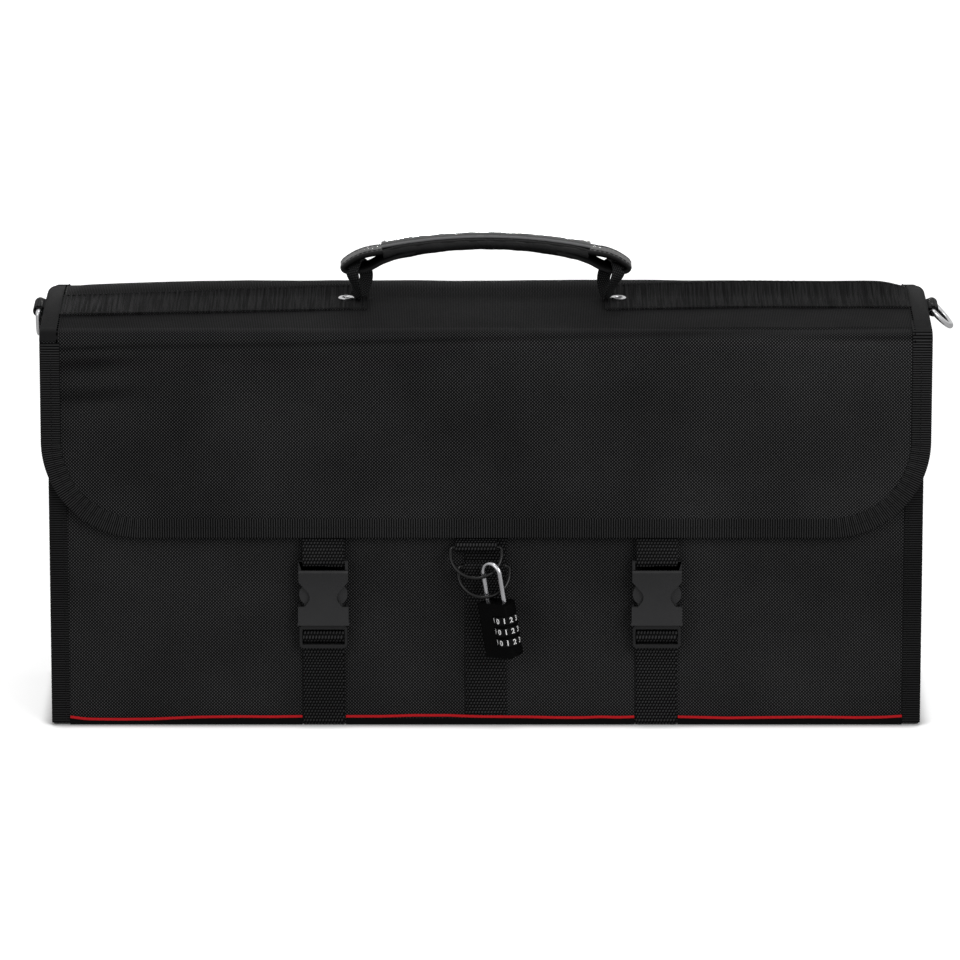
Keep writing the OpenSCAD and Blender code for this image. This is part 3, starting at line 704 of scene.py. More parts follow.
class Graph(NodeTree):
    """A material's node tree."""

    def __init__(self, name: str) -> None:
        """Starts a material with an empty tree.

        Args:
            name: The material's name.
        """
        self.material = bpy.data.materials.new(name)
        self.material.use_nodes = True
        super().__init__(self.material.node_tree)

    def attribute(self, name: str) -> Socket:
        """The number that the mesh keeps for each point under a name."""
        return self.node("ShaderNodeAttribute", attribute_name=name).outputs["Fac"]

    def place(self, uv: str | None = None) -> Socket:
        """The pattern's coordinates: a UV map in metres, or the object's own."""
        if uv:
            return self.node("ShaderNodeUVMap", uv_map=uv).outputs[0]
        return self.node("ShaderNodeTexCoord").outputs["Object"]

    def parts(self, vector: Socket) -> tuple[Socket, Socket, Socket]:
        """A vector's three components."""
        made = self.node("ShaderNodeSeparateXYZ", {0: vector})
        return made.outputs[0], made.outputs[1], made.outputs[2]

    def noise(self, vector: Socket, scale: float, detail: float = 2.0, rough: float = 0.5) -> Socket:
        """A noise texture's factor."""
        links = {"Vector": vector, "Scale": scale, "Detail": detail, "Roughness": rough}
        return self.node("ShaderNodeTexNoise", links).outputs["Fac"]

    def spread(
        self, value: Socket, low_from: float, high_from: float, low_to: float, high_to: float
    ) -> Socket:
        """Maps a value's range onto another, clamped."""
        links = {"Value": value, 1: low_from, 2: high_from, 3: low_to, 4: high_to}
        return self.node("ShaderNodeMapRange", links).outputs[0]

    def mix(self, factor: object, a: object, b: object) -> Socket:
        """A colour between two, each a socket or an RGB triple."""
        links = {0: factor, 6: self.rgba(a), 7: self.rgba(b)}
        return self.node("ShaderNodeMix", links, data_type="RGBA").outputs[2]

    @staticmethod
    def rgba(colour: object) -> object:
        """A socket as it is, or an RGB triple with its full alpha."""
        return colour if isinstance(colour, Socket) else (*colour, 1.0)

    def bump(self, height: Socket, distance: float) -> Socket:
        """A bumped normal from a height in units of distance."""
        return self.node("ShaderNodeBump", {"Height": height, "Distance": distance}).outputs[0]

    def surface(self, colour: Socket, roughness: Socket, normal: Socket, **others: object) -> Material:
        """Ends the tree in a Principled shader.

        Args:
            colour: The base colour.
            roughness: The roughness.
            normal: A bumped normal.
            others: Values or sockets for the shader's other inputs, with _ for each space.

        Returns:
            The finished material.
        """
        links = {"Base Color": colour, "Roughness": roughness, "Normal": normal}
        links.update({key.replace("_", " "): value for key, value in others.items()})
        self.output(self.node("ShaderNodeBsdfPrincipled", links).outputs[0])
        return self.material

    def output(self, shader: Socket) -> None:
        """Ends the tree in a shader."""
        self.node("ShaderNodeOutputMaterial", {0: shader})

    def hump(self, value: Socket) -> Socket:
        """A round thread's height, which is 0 at each whole number."""
        return self.math("ABSOLUTE", self.math("SINE", self.times(value, math.pi)))

    def weave(self, kind: Weave, vector: Socket, pitch: float) -> Socket:
        """The height of woven threads, 0 to 1.

        Args:
            kind: How the threads cross.
            vector: The pattern's coordinates in metres.
            pitch: The distance between neighbouring threads.

        Returns:
            The height socket.
        """
        u, v, _ = self.parts(vector)
        u = self.math("DIVIDE", u, pitch)
        v = self.math("DIVIDE", v, pitch)
        if kind is Weave.FLOAT:
            return self.floats(u, v)
        if kind is Weave.RIB:
            crest = self.math("COSINE", self.times(u, math.pi))
            return self.math("POWER", self.math("ABSOLUTE", crest), 3.0)
        across, along = self.hump(u), self.hump(v)
        parity = self.plus(self.math("FLOOR", u), self.math("FLOOR", v))
        parity = self.math("FLOORED_MODULO", parity, 2.0)
        warp = self.times(across, self.math("MULTIPLY_ADD", along, 0.65, 0.35))
        weft = self.times(along, self.math("MULTIPLY_ADD", across, 0.65, 0.35))
        over = self.times(warp, self.math("SUBTRACT", 1.0, parity))
        under = self.times(self.times(weft, 0.2), parity)
        return self.plus(over, under)

    def floats(self, u: Socket, v: Socket) -> Socket:
        """The height of heavy webbing: staggered oval floats, longer across the strap than along it."""
        row = self.math("MODULO", self.math("FLOOR", u), 2.0)
        along = self.math("SUBTRACT", self.math("FRACT", u), 0.5)
        shifted = self.plus(v, self.times(row, 0.5))
        across = self.math("SUBTRACT", self.math("FRACT", shifted), 0.5)
        slant = self.math("MULTIPLY_ADD", across, 0.3, along)
        wide = self.math("POWER", self.times(slant, 2.4), 2.0)
        far = self.plus(wide, self.math("POWER", self.times(across, 2.6), 2.0))
        return self.math("SQRT", self.math("MAXIMUM", self.math("SUBTRACT", 1.0, far), 0.0))


@dataclass(frozen=True)
class ClothFinish:
    """A woven cloth or tape.

    Args:
        name: The material's name.
        dark: The colour down between the threads, which is painted shade in the gaps.
        light: The colour on top of them.
        pitch: The distance from thread to thread.
        weave: How the threads cross.
        depth: The height of the threads.
        rough: The roughness of the threads' tops.
        specular: The shader's specular level.
        uv: The UV map in metres, or None for the object's own coordinates.
        ridge: The rough distance between uneven ridges across a strip, or 0 for none.
        painted_shading: Whether the point attribute named crease paints shade on the cloth, and light where
            it is below 0.
    """

    name: str
    dark: Triple
    light: Triple
    pitch: float
    weave: Weave = Weave.PLAIN
    depth: float = 0.12 * MM
    rough: float = 0.62
    specular: float = 0.06
    uv: str | None = "weave"
    ridge: float = 0.0
    painted_shading: bool = False

    def build(self) -> Material:
        """Builds the material, with uneven thread tops and a little lint and rubbing."""
        g = Graph(self.name)
        place = g.place(self.uv)
        own = g.place()
        threads = g.weave(self.weave, place, self.pitch)
        slub = g.noise(own, 900.0, 2.0)
        patches = g.noise(own, 14.0, 3.0)
        wear_and_highlight = g.spread(patches, 0.35, 0.75, 0.85, 1.25)
        tops = g.times(threads, wear_and_highlight)
        if self.ridge:
            u, v, _ = g.parts(place)
            stripe = g.node("ShaderNodeCombineXYZ", {0: u, 1: g.times(v, 0.02)}).outputs[0]
            uneven = g.spread(g.noise(stripe, 1 / self.ridge, 1.0), 0.38, 0.6, 0.3, 1.25)
            tops = g.times(tops, uneven)
        # Painted shade from the crease attribute darkens the thread tops; below 0 it is painted light.
        if self.painted_shading:
            tops = g.times(tops, g.math("SUBTRACT", 1.0, g.attribute("crease")))
        # The gaps between the threads take the dark colour, which is painted shade.
        colour = g.mix(g.spread(tops, 0.1, 1.0, 0.0, 1.0), self.dark, self.light)
        height = g.plus(threads, g.times(slub, 0.35))
        rough = g.spread(g.plus(tops, slub), 0.2, 1.7, min(1.0, self.rough + 0.15), self.rough)
        return g.surface(colour, rough, g.bump(height, self.depth), Specular_IOR_Level=self.specular)


@dataclass(frozen=True)
class PlasticFinish:
    """Moulded plastic with a fine spark texture, random lighter patches and painted light that grows towards
    the bottom.

    Args:
        name: The material's name.
        colour: The plastic's colour.
        rough: Its roughness.
        grain: The height of the mould's texture.
        shaded: Height above the ground above which the plastic gets no painted light.
        lit: Height below which its painted light is strongest.
    """

    name: str
    colour: Triple
    rough: float = 0.42
    grain: float = 0.02 * MM
    shaded: float = 104 * MM
    lit: float = 70 * MM

    def build(self) -> Material:
        """Builds the material."""
        g = Graph(self.name)
        own = g.place()
        fine = g.noise(own, 2600.0, 2.0)
        broad = g.noise(own, 90.0, 3.0)
        lighter = tuple(min(0.9, c * 1.9) for c in self.colour)
        _, _, height = g.parts(own)
        # Painted light: the plastic is drawn lighter towards the bottom, added to random lighter patches.
        painted_low_light = g.spread(height, self.shaded, self.lit, 0.0, 0.75)
        tone_and_shade = g.plus(g.spread(broad, 0.4, 0.75, 0.0, 0.25), painted_low_light)
        colour = g.mix(tone_and_shade, self.colour, lighter)
        rough = g.spread(broad, 0.3, 0.7, self.rough + 0.06, self.rough - 0.06)
        return g.surface(colour, rough, g.bump(fine, self.grain), Specular_IOR_Level=0.2)


@dataclass(frozen=True)
class LeatherFinish:
    """Smooth grained leather.

    Args:
        name: The material's name.
        colour: The leather's colour.
        rough: Its roughness.
        raw: Whether the point attribute named ribbed is 0 on the inner face, which is drawn darker as painted
            shade.
        painted_seam_light: Whether the point attributes named wear_and_highlight and crease paint a highlight
            and shade on the hide.
    """

    name: str
    colour: Triple
    rough: float = 0.25
    raw: bool = False
    painted_seam_light: bool = False

    def build(self) -> Material:
        """Builds the material, with pores, creases and a soft wear pattern."""
        g = Graph(self.name)
        own = g.place()
        links = {"Vector": own, "Scale": 1100.0}
        cells = g.node("ShaderNodeTexVoronoi", links, feature="DISTANCE_TO_EDGE").outputs[0]
        grain = g.spread(cells, 0.0, 0.18, 0.0, 1.0)
        creases = g.noise(own, 160.0, 4.0)
        patches = g.noise(own, 40.0, 3.0)
        lighter = tuple(c * 1.9 + 0.004 for c in self.colour)
        colour = g.mix(g.spread(patches, 0.42, 0.8, 0.0, 0.7), self.colour, lighter)
        height = g.plus(g.times(grain, 0.5), creases)
        rough = g.spread(patches, 0.3, 0.7, self.rough + 0.08, self.rough - 0.06)
        gloss = 0.2
        # Painted shade: the strap's inner face is drawn darker, with no gloss.
        if self.raw:
            smooth = g.attribute("ribbed")
            colour = g.mix(smooth, tuple(c * 0.4 for c in self.colour), colour)
            gloss = g.times(smooth, gloss)
        if self.painted_seam_light:
            # Painted highlight along the sleeve's seam bead, and painted shade in the groove below it.
            wear_and_highlight = g.attribute("wear_and_highlight")
            groove_shade = g.attribute("crease")
            colour = g.mix(wear_and_highlight, colour, tuple(c * 15.0 for c in self.colour))
            colour = g.mix(groove_shade, colour, tuple(c * 0.15 for c in self.colour))
            gloss = g.times(g.math("SUBTRACT", 1.0, groove_shade), gloss)
        return g.surface(colour, rough, g.bump(height, 0.06 * MM), Specular_IOR_Level=gloss)


@dataclass(frozen=True)
class MetalFinish:
    """Plated or lacquered metal.

    Args:
        name: The material's name.
        colour: Its colour.
        rough: Its roughness.
        metallic: 1 for bare or plated metal, 0 for lacquer.
        gloss: The specular level of lacquer.
    """

    name: str
    colour: Triple
    rough: float
    metallic: float = 1.0
    gloss: float = 0.04

    def build(self) -> Material:
        """Builds the material, with faint scuffs in its gloss."""
        g = Graph(self.name)
        own = g.place()
        scuffs = g.noise(own, 300.0, 4.0, 0.65)
        broad = g.noise(own, 60.0, 2.0)
        rough = g.spread(scuffs, 0.35, 0.8, self.rough, self.rough + 0.16)
        duller = tuple(c * 0.82 for c in self.colour)
        colour = g.mix(g.spread(broad, 0.35, 0.75, 0.0, 1.0), self.colour, duller)
        gloss = 0.5 if self.metallic else self.gloss
        normal = g.bump(scuffs, 0.006 * MM)
        return g.surface(colour, rough, normal, Metallic=self.metallic, Specular_IOR_Level=gloss)


class Finishes:
    """Every finish of the case, built once."""

    def __init__(self) -> None:
        """Builds the materials and the two node tools."""
        self.cloth = ClothFinish("Case cloth", *CASE_CLOTH, 0.98 * MM).build()
        # The lid cloth takes painted shade and painted light from the crease attribute.
        self.top_cloth = ClothFinish("Lid cloth", *CASE_CLOTH, 0.98 * MM, specular=0.03, painted_shading=True).build()
        self.tape = ClothFinish(
            "Binding tape", (0.0004, 0.0004, 0.0005), (0.033, 0.033, 0.0336), TAPE_PITCH,
            Weave.RIB, 0.05 * MM,
        ).build()
        self.corner_tape = ClothFinish(
            "Corner tape", (0.0002, 0.0002, 0.0002), (0.0225, 0.0225, 0.0232), TAPE_PITCH,
            Weave.RIB, 0.05 * MM,
        ).build()
        self.band = ClothFinish(
            "Lid end band", (0.006, 0.006, 0.0062), (0.020, 0.020, 0.0205), 0.45 * MM,
            Weave.RIB, 0.03 * MM, 0.55, 0.03,
        ).build()
        self.edging = ClothFinish(
            "Foot edging", (0.003, 0.003, 0.0031), (0.009, 0.009, 0.0093), 0.45 * MM,
            Weave.PLAIN, 0.03 * MM, 0.55, 0.03,
        ).build()
        self.webbing = ClothFinish(
            "Webbing", (0.0002, 0.0002, 0.0003), (0.036, 0.036, 0.0368), 1.9 * MM, Weave.FLOAT, 0.35 * MM, 0.5
        ).build()
        self.strip = ClothFinish(
            "Ridged strip", (0.002, 0.002, 0.0022), (0.052, 0.052, 0.053), 0.8 * MM,
            Weave.PLAIN, 0.12 * MM, 0.6, 0.03, ridge=1.15 * MM,
        ).build()
        self.loops = ClothFinish(
            "Loop webbing", (0.002, 0.002, 0.0021), (0.036, 0.037, 0.038), 1.3 * MM,
            Weave.FLOAT, 0.22 * MM, 0.55,
        ).build()
        self.lining = ClothFinish(
            "Lining", (0.030, 0.030, 0.032), (0.075, 0.075, 0.078), 0.5 * MM, Weave.PLAIN, 0.05 * MM, 0.7
        ).build()
        self.elastic = ClothFinish(
            "Elastic", (0.010, 0.010, 0.0105), (0.055, 0.055, 0.056), 1.1 * MM, Weave.RIB, 0.25 * MM, 0.7
        ).build()
        self.piping = ClothFinish(
            "Piping", (0.42, 0.010, 0.014), (0.72, 0.022, 0.028), 0.45 * MM, Weave.PLAIN, 0.05 * MM, 0.6
        ).build()
        self.plastic = PlasticFinish("Buckle plastic", (0.016, 0.016, 0.0166)).build()
        # A darker copy of the buckle plastic, painted shade on the adjuster frames, with its painted light
        # lower down.
        self.shaded_plastic = PlasticFinish(
            "Buckle plastic in painted shade", (0.011, 0.011, 0.0114), shaded=60 * MM, lit=20 * MM
        ).build()
        self.leather = LeatherFinish("Handle leather", (0.0095, 0.0095, 0.0098), painted_seam_light=True).build()
        self.strap_leather = LeatherFinish("Strap leather", (0.007, 0.007, 0.0072), raw=True).build()
        self.thread = ClothFinish(
            "Black thread", (0.005, 0.005, 0.005), (0.024, 0.024, 0.0245), 0.25 * MM,
            Weave.RIB, 0.04 * MM, 0.5, uv=None,
        ).build()
        # Near-black thread, painted shade for stitches sunk in the lid's end bands and for the eyelets'
        # holes.
        self.shade_black = ClothFinish(
            "Sunk thread", (0.0002, 0.0002, 0.0002), (0.003, 0.003, 0.003), 0.25 * MM,
            Weave.RIB, 0.04 * MM, 0.7, 0.0, uv=None,
        ).build()
        self.wire = MetalFinish("Black wire", (0.004, 0.004, 0.0042), 0.14, 0.0, 0.3).build()
        self.nickel = MetalFinish("Bright nickel", (0.72, 0.72, 0.73), 0.22).build()
        self.chrome = MetalFinish("Polished chrome", (0.60, 0.60, 0.62), 0.12).build()
        self.lacquer = MetalFinish("Lock lacquer", (0.0025, 0.0025, 0.0026), 0.3, 0.0, 0.03).build()
        self.dial = MetalFinish("Dial black", (0.005, 0.005, 0.0052), 0.34, 0.0, 0.06).build()
        self.digit = PlasticFinish("Digit white", (0.62, 0.62, 0.61), 0.5).build()
        self.ribs = RibTool()
        self.stitches = StitchTool()

    def seam(
        self, name: str, rows: list[list[Vector]], body: str, slot: str,
        size: Stitch = Stitch(), thread: Material | None = None,
    ) -> None:
        """Sews one piece of stitches and rides it on a body.

        Args:
            name: The piece's name.
            rows: The seams as polylines.
            body: The CAD body that carries them.
            slot: The record's material slot; not used.
            size: The stitches' sizes.
            thread: The thread's finish, or None for the black one.
        """
        seat(self.stitches.sew(name, rows, thread or self.thread, size), body, slot)


# Cloth shells


def shade(value: float, span: float) -> float:
    """A smooth step from 0 to 1 over a span from zero."""
    t = min(1.0, max(0.0, value / span))
    return t * t * (3 - 2 * t)


def bell(value: float, width: float) -> float:
    """A bell curve round zero, 1 high."""
    return math.exp(-(value / width) ** 2)


def ripple(x: float, y: float, z: float, wave: float) -> float:
    """Smooth noise, about -0.7 to 0.7, with waves of a given length in metres."""
    return noise.noise(Vector((x / wave + 7.3, y / wave - 2.1, z / wave + 4.6)))


def along(points: Line, x: float) -> float:
    """Reads a line through points at x, held level past its ends."""
    if x <= points[0][0]:
        return points[0][1]
    for (x0, y0), (x1, y1) in zip(points, points[1:]):
        if x <= x1:
            return y0 + (y1 - y0) * (x - x0) / (x1 - x0)
    return points[-1][1]


@dataclass
class CoverCloth:
    """The one cloth that covers the lid and hangs down in front as the flap.

    Args:
        half: Half of its width.
        corner: The radius of the flap's lower corners.
        edge_z: Height of the flap's lower edge.
        front: Depth position of the flap's face.
        back: Depth position of the flap's reverse.
        under: Height of the lid's underside.
        crown: Height of the lid's top at its edges.
        rise: How far the top's middle rises over its edges.
        swell: How far the cloth swells along the lid's rear.
        swollen: The share of the swell along the width, in millimetres.
        turned: How far the rear corners are rounded in.
        rear: Centre of the rear fold in depth and height.
        rear_r: Radius of the rear fold.
        columns: Steps across the width.
        crease: Height of the pressed crease along the width, in millimetres.
        short: Height and depth of the two short creases at the flap's left end, in millimetres.
        short_shade: Height in millimetres of their lines of painted shade, and how dark each is painted.
        tone_and_shade: How much painted shade darkens the lid's top, short of its rear.
        polished: How much painted light brightens the lid's rear and the flap's right half.
        outer: The section's outer line, filled by lay_out().
        inner: Its inner line, matched point for point.
        halves: Half of the width at each of its points.
    """

    half: float = 266 * MM
    corner: float = 59 * MM
    edge_z: float = 120.5 * MM
    front: float = -64.7 * MM
    back: float = -61.1 * MM
    under: float = 241 * MM
    crown: float = 246.4 * MM
    rise: float = 1.4 * MM
    swell: float = 4.5 * MM
    swollen: Line = (
        (-258.0, 0.0), (-243.0, 0.35), (-225.0, 0.55), (-200.0, 0.75), (-175.0, 0.9), (-145.0, 1.0),
        (232.0, 1.0), (240.0, 0.94), (246.0, 0.72), (252.0, 0.35), (258.0, 0.0),
    )
    turned: float = 9 * MM
    rear: Pair = (55.3 * MM, 243.7 * MM)
    rear_r: float = 2.7 * MM
    columns: int = 160
    crease: Line = (
        (-253.0, 236.4), (-219.0, 237.7), (-111.0, 239.5), (-4.0, 242.6), (128.0, 245.6), (254.0, 247.5),
    )
    short: Line = ((228.5, 0.9), (209.4, 1.1))
    short_shade: Line = ((227.5, 0.36), (208.4, 0.4))
    tone_and_shade: float = 0.2
    polished: float = 0.24
    outer: list[Pair] = field(default_factory=list)
    inner: list[Pair] = field(default_factory=list)
    halves: list[float] = field(default_factory=list)

    def top_at(self, y: float) -> float:
        """Height of the lid's top at a depth position."""
        return self.crown + self.rise * (1 - (y / self.rear[0]) ** 2)

    def puff(self, x: float, y: float) -> float:
        """How far the padded cloth swells over the board along the lid's rear, between the end bands."""
        ahead = shade(y - 16 * MM, 32 * MM) * (1 - 0.85 * shade(y - 50.5 * MM, 3.5 * MM))
        return self.swell * ahead * along(self.swollen, x / MM) * (1 + 0.05 * math.sin(x / (46 * MM)))

    def half_at(self, y: float) -> float:
        """Half of the lid's width at a depth position, less where its rear corners are rounded."""
        past = max(0.0, y - 36 * MM) / (22.6 * MM)
        return self.half - self.turned * (1 - math.sqrt(max(0.0, 1 - past * past)))

    def lay_out(self) -> None:
        """Fills the outer and inner lines of the section, matched point for point."""
        steps = 14
        for i in range(steps):
            turn = math.pi / 2 * i / steps
            z = self.edge_z + self.corner * (1 - math.cos(turn))
            self.add(self.front, z, self.back, z, self.half - self.corner + self.corner * math.sin(turn))
        for z in between(self.edge_z + self.corner, FLAT_TOP_Z, 12)[:-1]:
            self.add(self.front, z, self.back, z, self.half)
        fold_out = [
            (-64.7, 226), (-64.9, 231), (-65.0, 235.6), (-64.6, 239.4),
            (-63.4, 243.1), (-60.9, 245.6), (-57, 246.45), (-53, 246.6),
        ]
        fold_in = [
            (-61.1, 226), (-61.1, 232), (-60.9, 236.0), (-60.2, 238.6),
            (-58.7, 240.5), (-56.2, 241), (-53, 241), (-50, 241),
        ]
        outs, ins = path_yz(0, fold_out, 1.1 * MM), path_yz(0, fold_in, 1.0 * MM)
        count = len(outs) - 1
        for i in range(count):
            at = i / count * (len(ins) - 1)
            k = int(at)
            q = ins[k].lerp(ins[k + 1], at - k)
            self.add(outs[i].y, outs[i].z, q.y, q.z, self.half)
        steps = 54
        for i in range(steps):
            y = (-53 + 106 * i / steps) * MM
            inner_y = (-50 + 100 * i / steps) * MM
            self.add(y, self.top_at(y), inner_y, self.under, self.half_at(y))
        for i, (y, z) in enumerate(arc_points(self.rear, self.rear_r, 112, -90, 12)):
            self.add(y, z, (50 + 3.2 * i / 12) * MM, self.under, self.half_at(y))

    def add(self, y: float, z: float, inner_y: float, inner_z: float, half: float) -> None:
        """Adds one row to the section."""
        self.outer.append((y, z))
        self.inner.append((inner_y, inner_z))
        self.halves.append(half)

    @property
    def deep(self) -> float:
        """Half of the flap's thickness."""
        return (self.back - self.front) / 2

    def outward(self, k: int) -> Pair:
        """The outward direction of the section's outer line at a row."""
        a, b = self.outer[max(k - 1, 0)], self.outer[min(k + 1, len(self.outer) - 1)]
        dy, dz = b[0] - a[0], b[1] - a[1]
        size = math.hypot(dy, dz)
        return -dz / size, dy / size

    def relief(self, x: float, y: float, z: float) -> float:
        """How far the outer face stands off its plain section at a place."""
        edge = shade(self.half - abs(x) - 10 * MM, 30 * MM) * shade(z - self.edge_z - 10 * MM, 25 * MM)
        lift = 0.55 * MM * ripple(x, y, z, 75 * MM) + 0.22 * MM * ripple(x, y, z, 24 * MM)
        lift = min(lift, 0.35 * MM) * edge
        if y > 0 and z > self.rear[1]:
            lift += self.puff(x, y)
        xm, zm = x / MM, z / MM
        if y < -52 * MM:
            gap = zm - along(self.crease, xm)
            lift -= 0.75 * MM * bell(gap, 1.3) * (1 - 0.25 * math.sin(xm / 31))
            lift += 0.35 * MM * bell(gap + 4.5, 3.0)
            for height, depth in self.short:
                reach = shade(-205 * MM - x, 18 * MM) * shade(x + 254 * MM, 8 * MM)
                lift -= depth * MM * reach * bell(zm - height - (xm + 230) * 0.05, 2.6)
            if x > 60 * MM:
                spread = shade(x - 60 * MM, 160 * MM)
                lift -= 0.9 * MM * spread * bell(zm - 244.3 + 1.2 * spread, 1.5 + 1.6 * spread)
        return lift

    def shade_at(self, x: float, y: float, z: float) -> float:
        """How much painted shade darkens the cloth at a place, up to 1: along the creases, below the crease
        on the right and over the lid's top. Less than 0 is painted light.
        """
        if y > -52 * MM:
            if z <= self.under:
                return 0.0
            # Painted shade over the lid's top, and painted light along its rear.
            return self.tone_and_shade * shade(42 * MM - y, 10 * MM) - self.polished * shade(y - 34 * MM, 12 * MM)
        xm, zm = x / MM, z / MM
        # Painted shade along the creases, and below the crease on the right.
        crease_shade = 0.28 * bell(zm - along(self.crease, xm), 1.7)
        for height, depth in self.short_shade:
            reach = shade(-190 * MM - x, 45 * MM)
            crease_shade += depth * reach * bell(zm - height - (xm + 230) * 0.05, 4.2)
        crease_shade += 0.55 * shade(x - 150 * MM, 90 * MM) * bell(zm - 243.2, 1.7)
        # Painted light over the flap's right half.
        return min(0.75, crease_shade) - self.polished * shade(x - 20 * MM, 180 * MM)

    def build(self, finishes: Finishes) -> Object:
        """Makes the cloth and bends it over the lid's front edge.

        Args:
            finishes: The case's materials.

        Returns:
            The cover.
        """
        self.lay_out()
        rows: list[list[Vector]] = []
        uvs: list[list[Pair]] = []
        run = 0.0
        for k, ((y, z), (iy, iz), half) in enumerate(zip(self.outer, self.inner, self.halves)):
            if k:
                run += math.dist(self.outer[k], self.outer[k - 1])
            ny, nz = self.outward(k)
            row, places = [], []
            for i in range(self.columns + 1):
                x = half * (2 * i / self.columns - 1)
                lift = self.relief(x, y, z)
                row.append(Vector((x, y + ny * lift, z + nz * lift)))
                places.append((x, run))
            for i in range(self.columns, -1, -1):
                x = half * (2 * i / self.columns - 1)
                row.append(Vector((x, iy, iz)))
                places.append((x, run))
            places.append(places[0])
            rows.append(row)
            uvs.append(places)
        cover = dress(ringed_object("lid_and_flap_cloth", rows, uvs), finishes.top_cloth)
        # The crease attribute is painted shade along the creases and over the lid's top, and painted light
        # where it is below 0.
        mark(cover, "crease", [self.shade_at(*vert.co) for vert in cover.data.vertices])
        self.fold(cover, "cloth", "lid_panel", "flap_panel")
        return cover

    def fold(self, obj: Object, slot: str, *nodes: str) -> None:
        """Bakes a piece's place into its mesh and hides the CAD nodes that it stands for."""
        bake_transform(obj)
        if nodes:
            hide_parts(*nodes)
        LOG.info("%s bends between the lid and the flap", obj.name)


@dataclass
class BodyCloth:
    """The cloth-covered box below the lid, and its grey lining.

    Args:
        half_w: Half of the outer width.
        half_d: Half of the outer depth.
        floor: Height of the underside.
        rim: Height of the rim.
        wall: Thickness of a covered board.
        lining: Thickness of the lining.
        step: Length of a mesh step.
    """

    half_w: float = BODY_HALF_W
    half_d: float = BODY_HALF_D
    floor: float = 0.7 * MM
    rim: float = RIM_Z
    wall: float = 4 * MM
    lining: float = 0.8 * MM
    step: float = 4 * MM

    def ring(self, inset: float) -> list[Triple]:
        """Places round the footprint, moved in by inset, each with its run along the wall."""
        w, d = self.half_w, self.half_d
        nx, ny = round(2 * w / self.step), round(2 * d / self.step)
        places: list[Triple] = []
        corners = [(-w, -d), (w, -d), (w, d), (-w, d)]
        run = 0.0
        for side, count in enumerate((nx, ny, nx, ny)):
            (x0, y0), (x1, y1) = corners[side], corners[(side + 1) % 4]
            for i in range(count):
                t = i / count
                x, y = x0 + (x1 - x0) * t, y0 + (y1 - y0) * t
                places.append((x * (w - inset) / w, y * (d - inset) / d, run))
                run += math.hypot(x1 - x0, y1 - y0) / count
        return places

    def sag(self, x: float, y: float, z: float) -> float:
        """How far the outer face is drawn in at a place, never outwards."""
        level = shade(z - 12 * MM, 25 * MM) * shade(self.rim - 6 * MM - z, 20 * MM)
        if abs(y) > self.half_d - self.wall:
            ends = shade(self.half_w - abs(x) - 8 * MM, 25 * MM)
        else:
            ends = shade(self.half_d - abs(y) - 6 * MM, 16 * MM)
        wave = ripple(x, y, z, 90 * MM) + 0.4 * ripple(x, y, z, 30 * MM) + 0.55
        return min(0.75, max(0.0, wave * 0.6)) * MM * level * ends

    def shell(self, name: str, steps: list[Pair], sagging: bool) -> Object:
        """A box of four walls and a floor through (height, inset) steps, inner floor first."""
        rows: list[list[Vector]] = []
        uvs: list[list[Pair]] = []
        for z, inset in steps:
            row, places = [], []
            for x, y, run in self.ring(inset):
                if sagging and inset < 0.05 * MM:
                    pull = self.sag(x, y, z)
                    if abs(y) >= self.half_d - 0.001 * MM:
                        y -= math.copysign(pull, y)
                    else:
                        x -= math.copysign(pull, x)
                row.append(Vector((x, y, z)))
                places.append((run, z))
            places.append((2 * (self.half_w + self.half_d) * 2, z))
            rows.append(row)
            uvs.append(places)
        return ringed_object(name, rows, uvs)

    def build(self, finishes: Finishes) -> None:
        """Makes the box and the lining, and rides both on the case."""
        heights = [self.rim - 0.6 * MM - (self.rim - self.floor - 1.2 * MM) * i / 58 for i in range(59)]
        outside = [(z, 0.0) for z in heights]
        wall_steps = [(self.floor + self.wall, self.wall), (self.rim - 0.6 * MM, self.wall)]
        rim_steps = [(self.rim, self.wall - 0.6 * MM), (self.rim, 0.6 * MM)]
        shell = self.shell("body_cloth", wall_steps + rim_steps + outside + [(self.floor, 0.6 * MM)], True)
        seat(
            dress(shell, finishes.cloth), "case", "cloth",
            "bottom_panel", "front_panel", "back_panel", "left_end_panel", "right_end_panel",
        )
        inner, outer = self.wall + self.lining, self.wall
        low, top = self.floor + self.wall, self.rim - 1 * MM
        fine = [low + self.lining + (top - low - self.lining) * i / 24 for i in range(25)]
        steps = [(z, inner) for z in fine] + [(top, outer + 0.02 * MM), (low, outer + 0.02 * MM)]
        seat(dress(self.shell("grey_lining", steps, False), finishes.lining), "case", "lining", "lining")


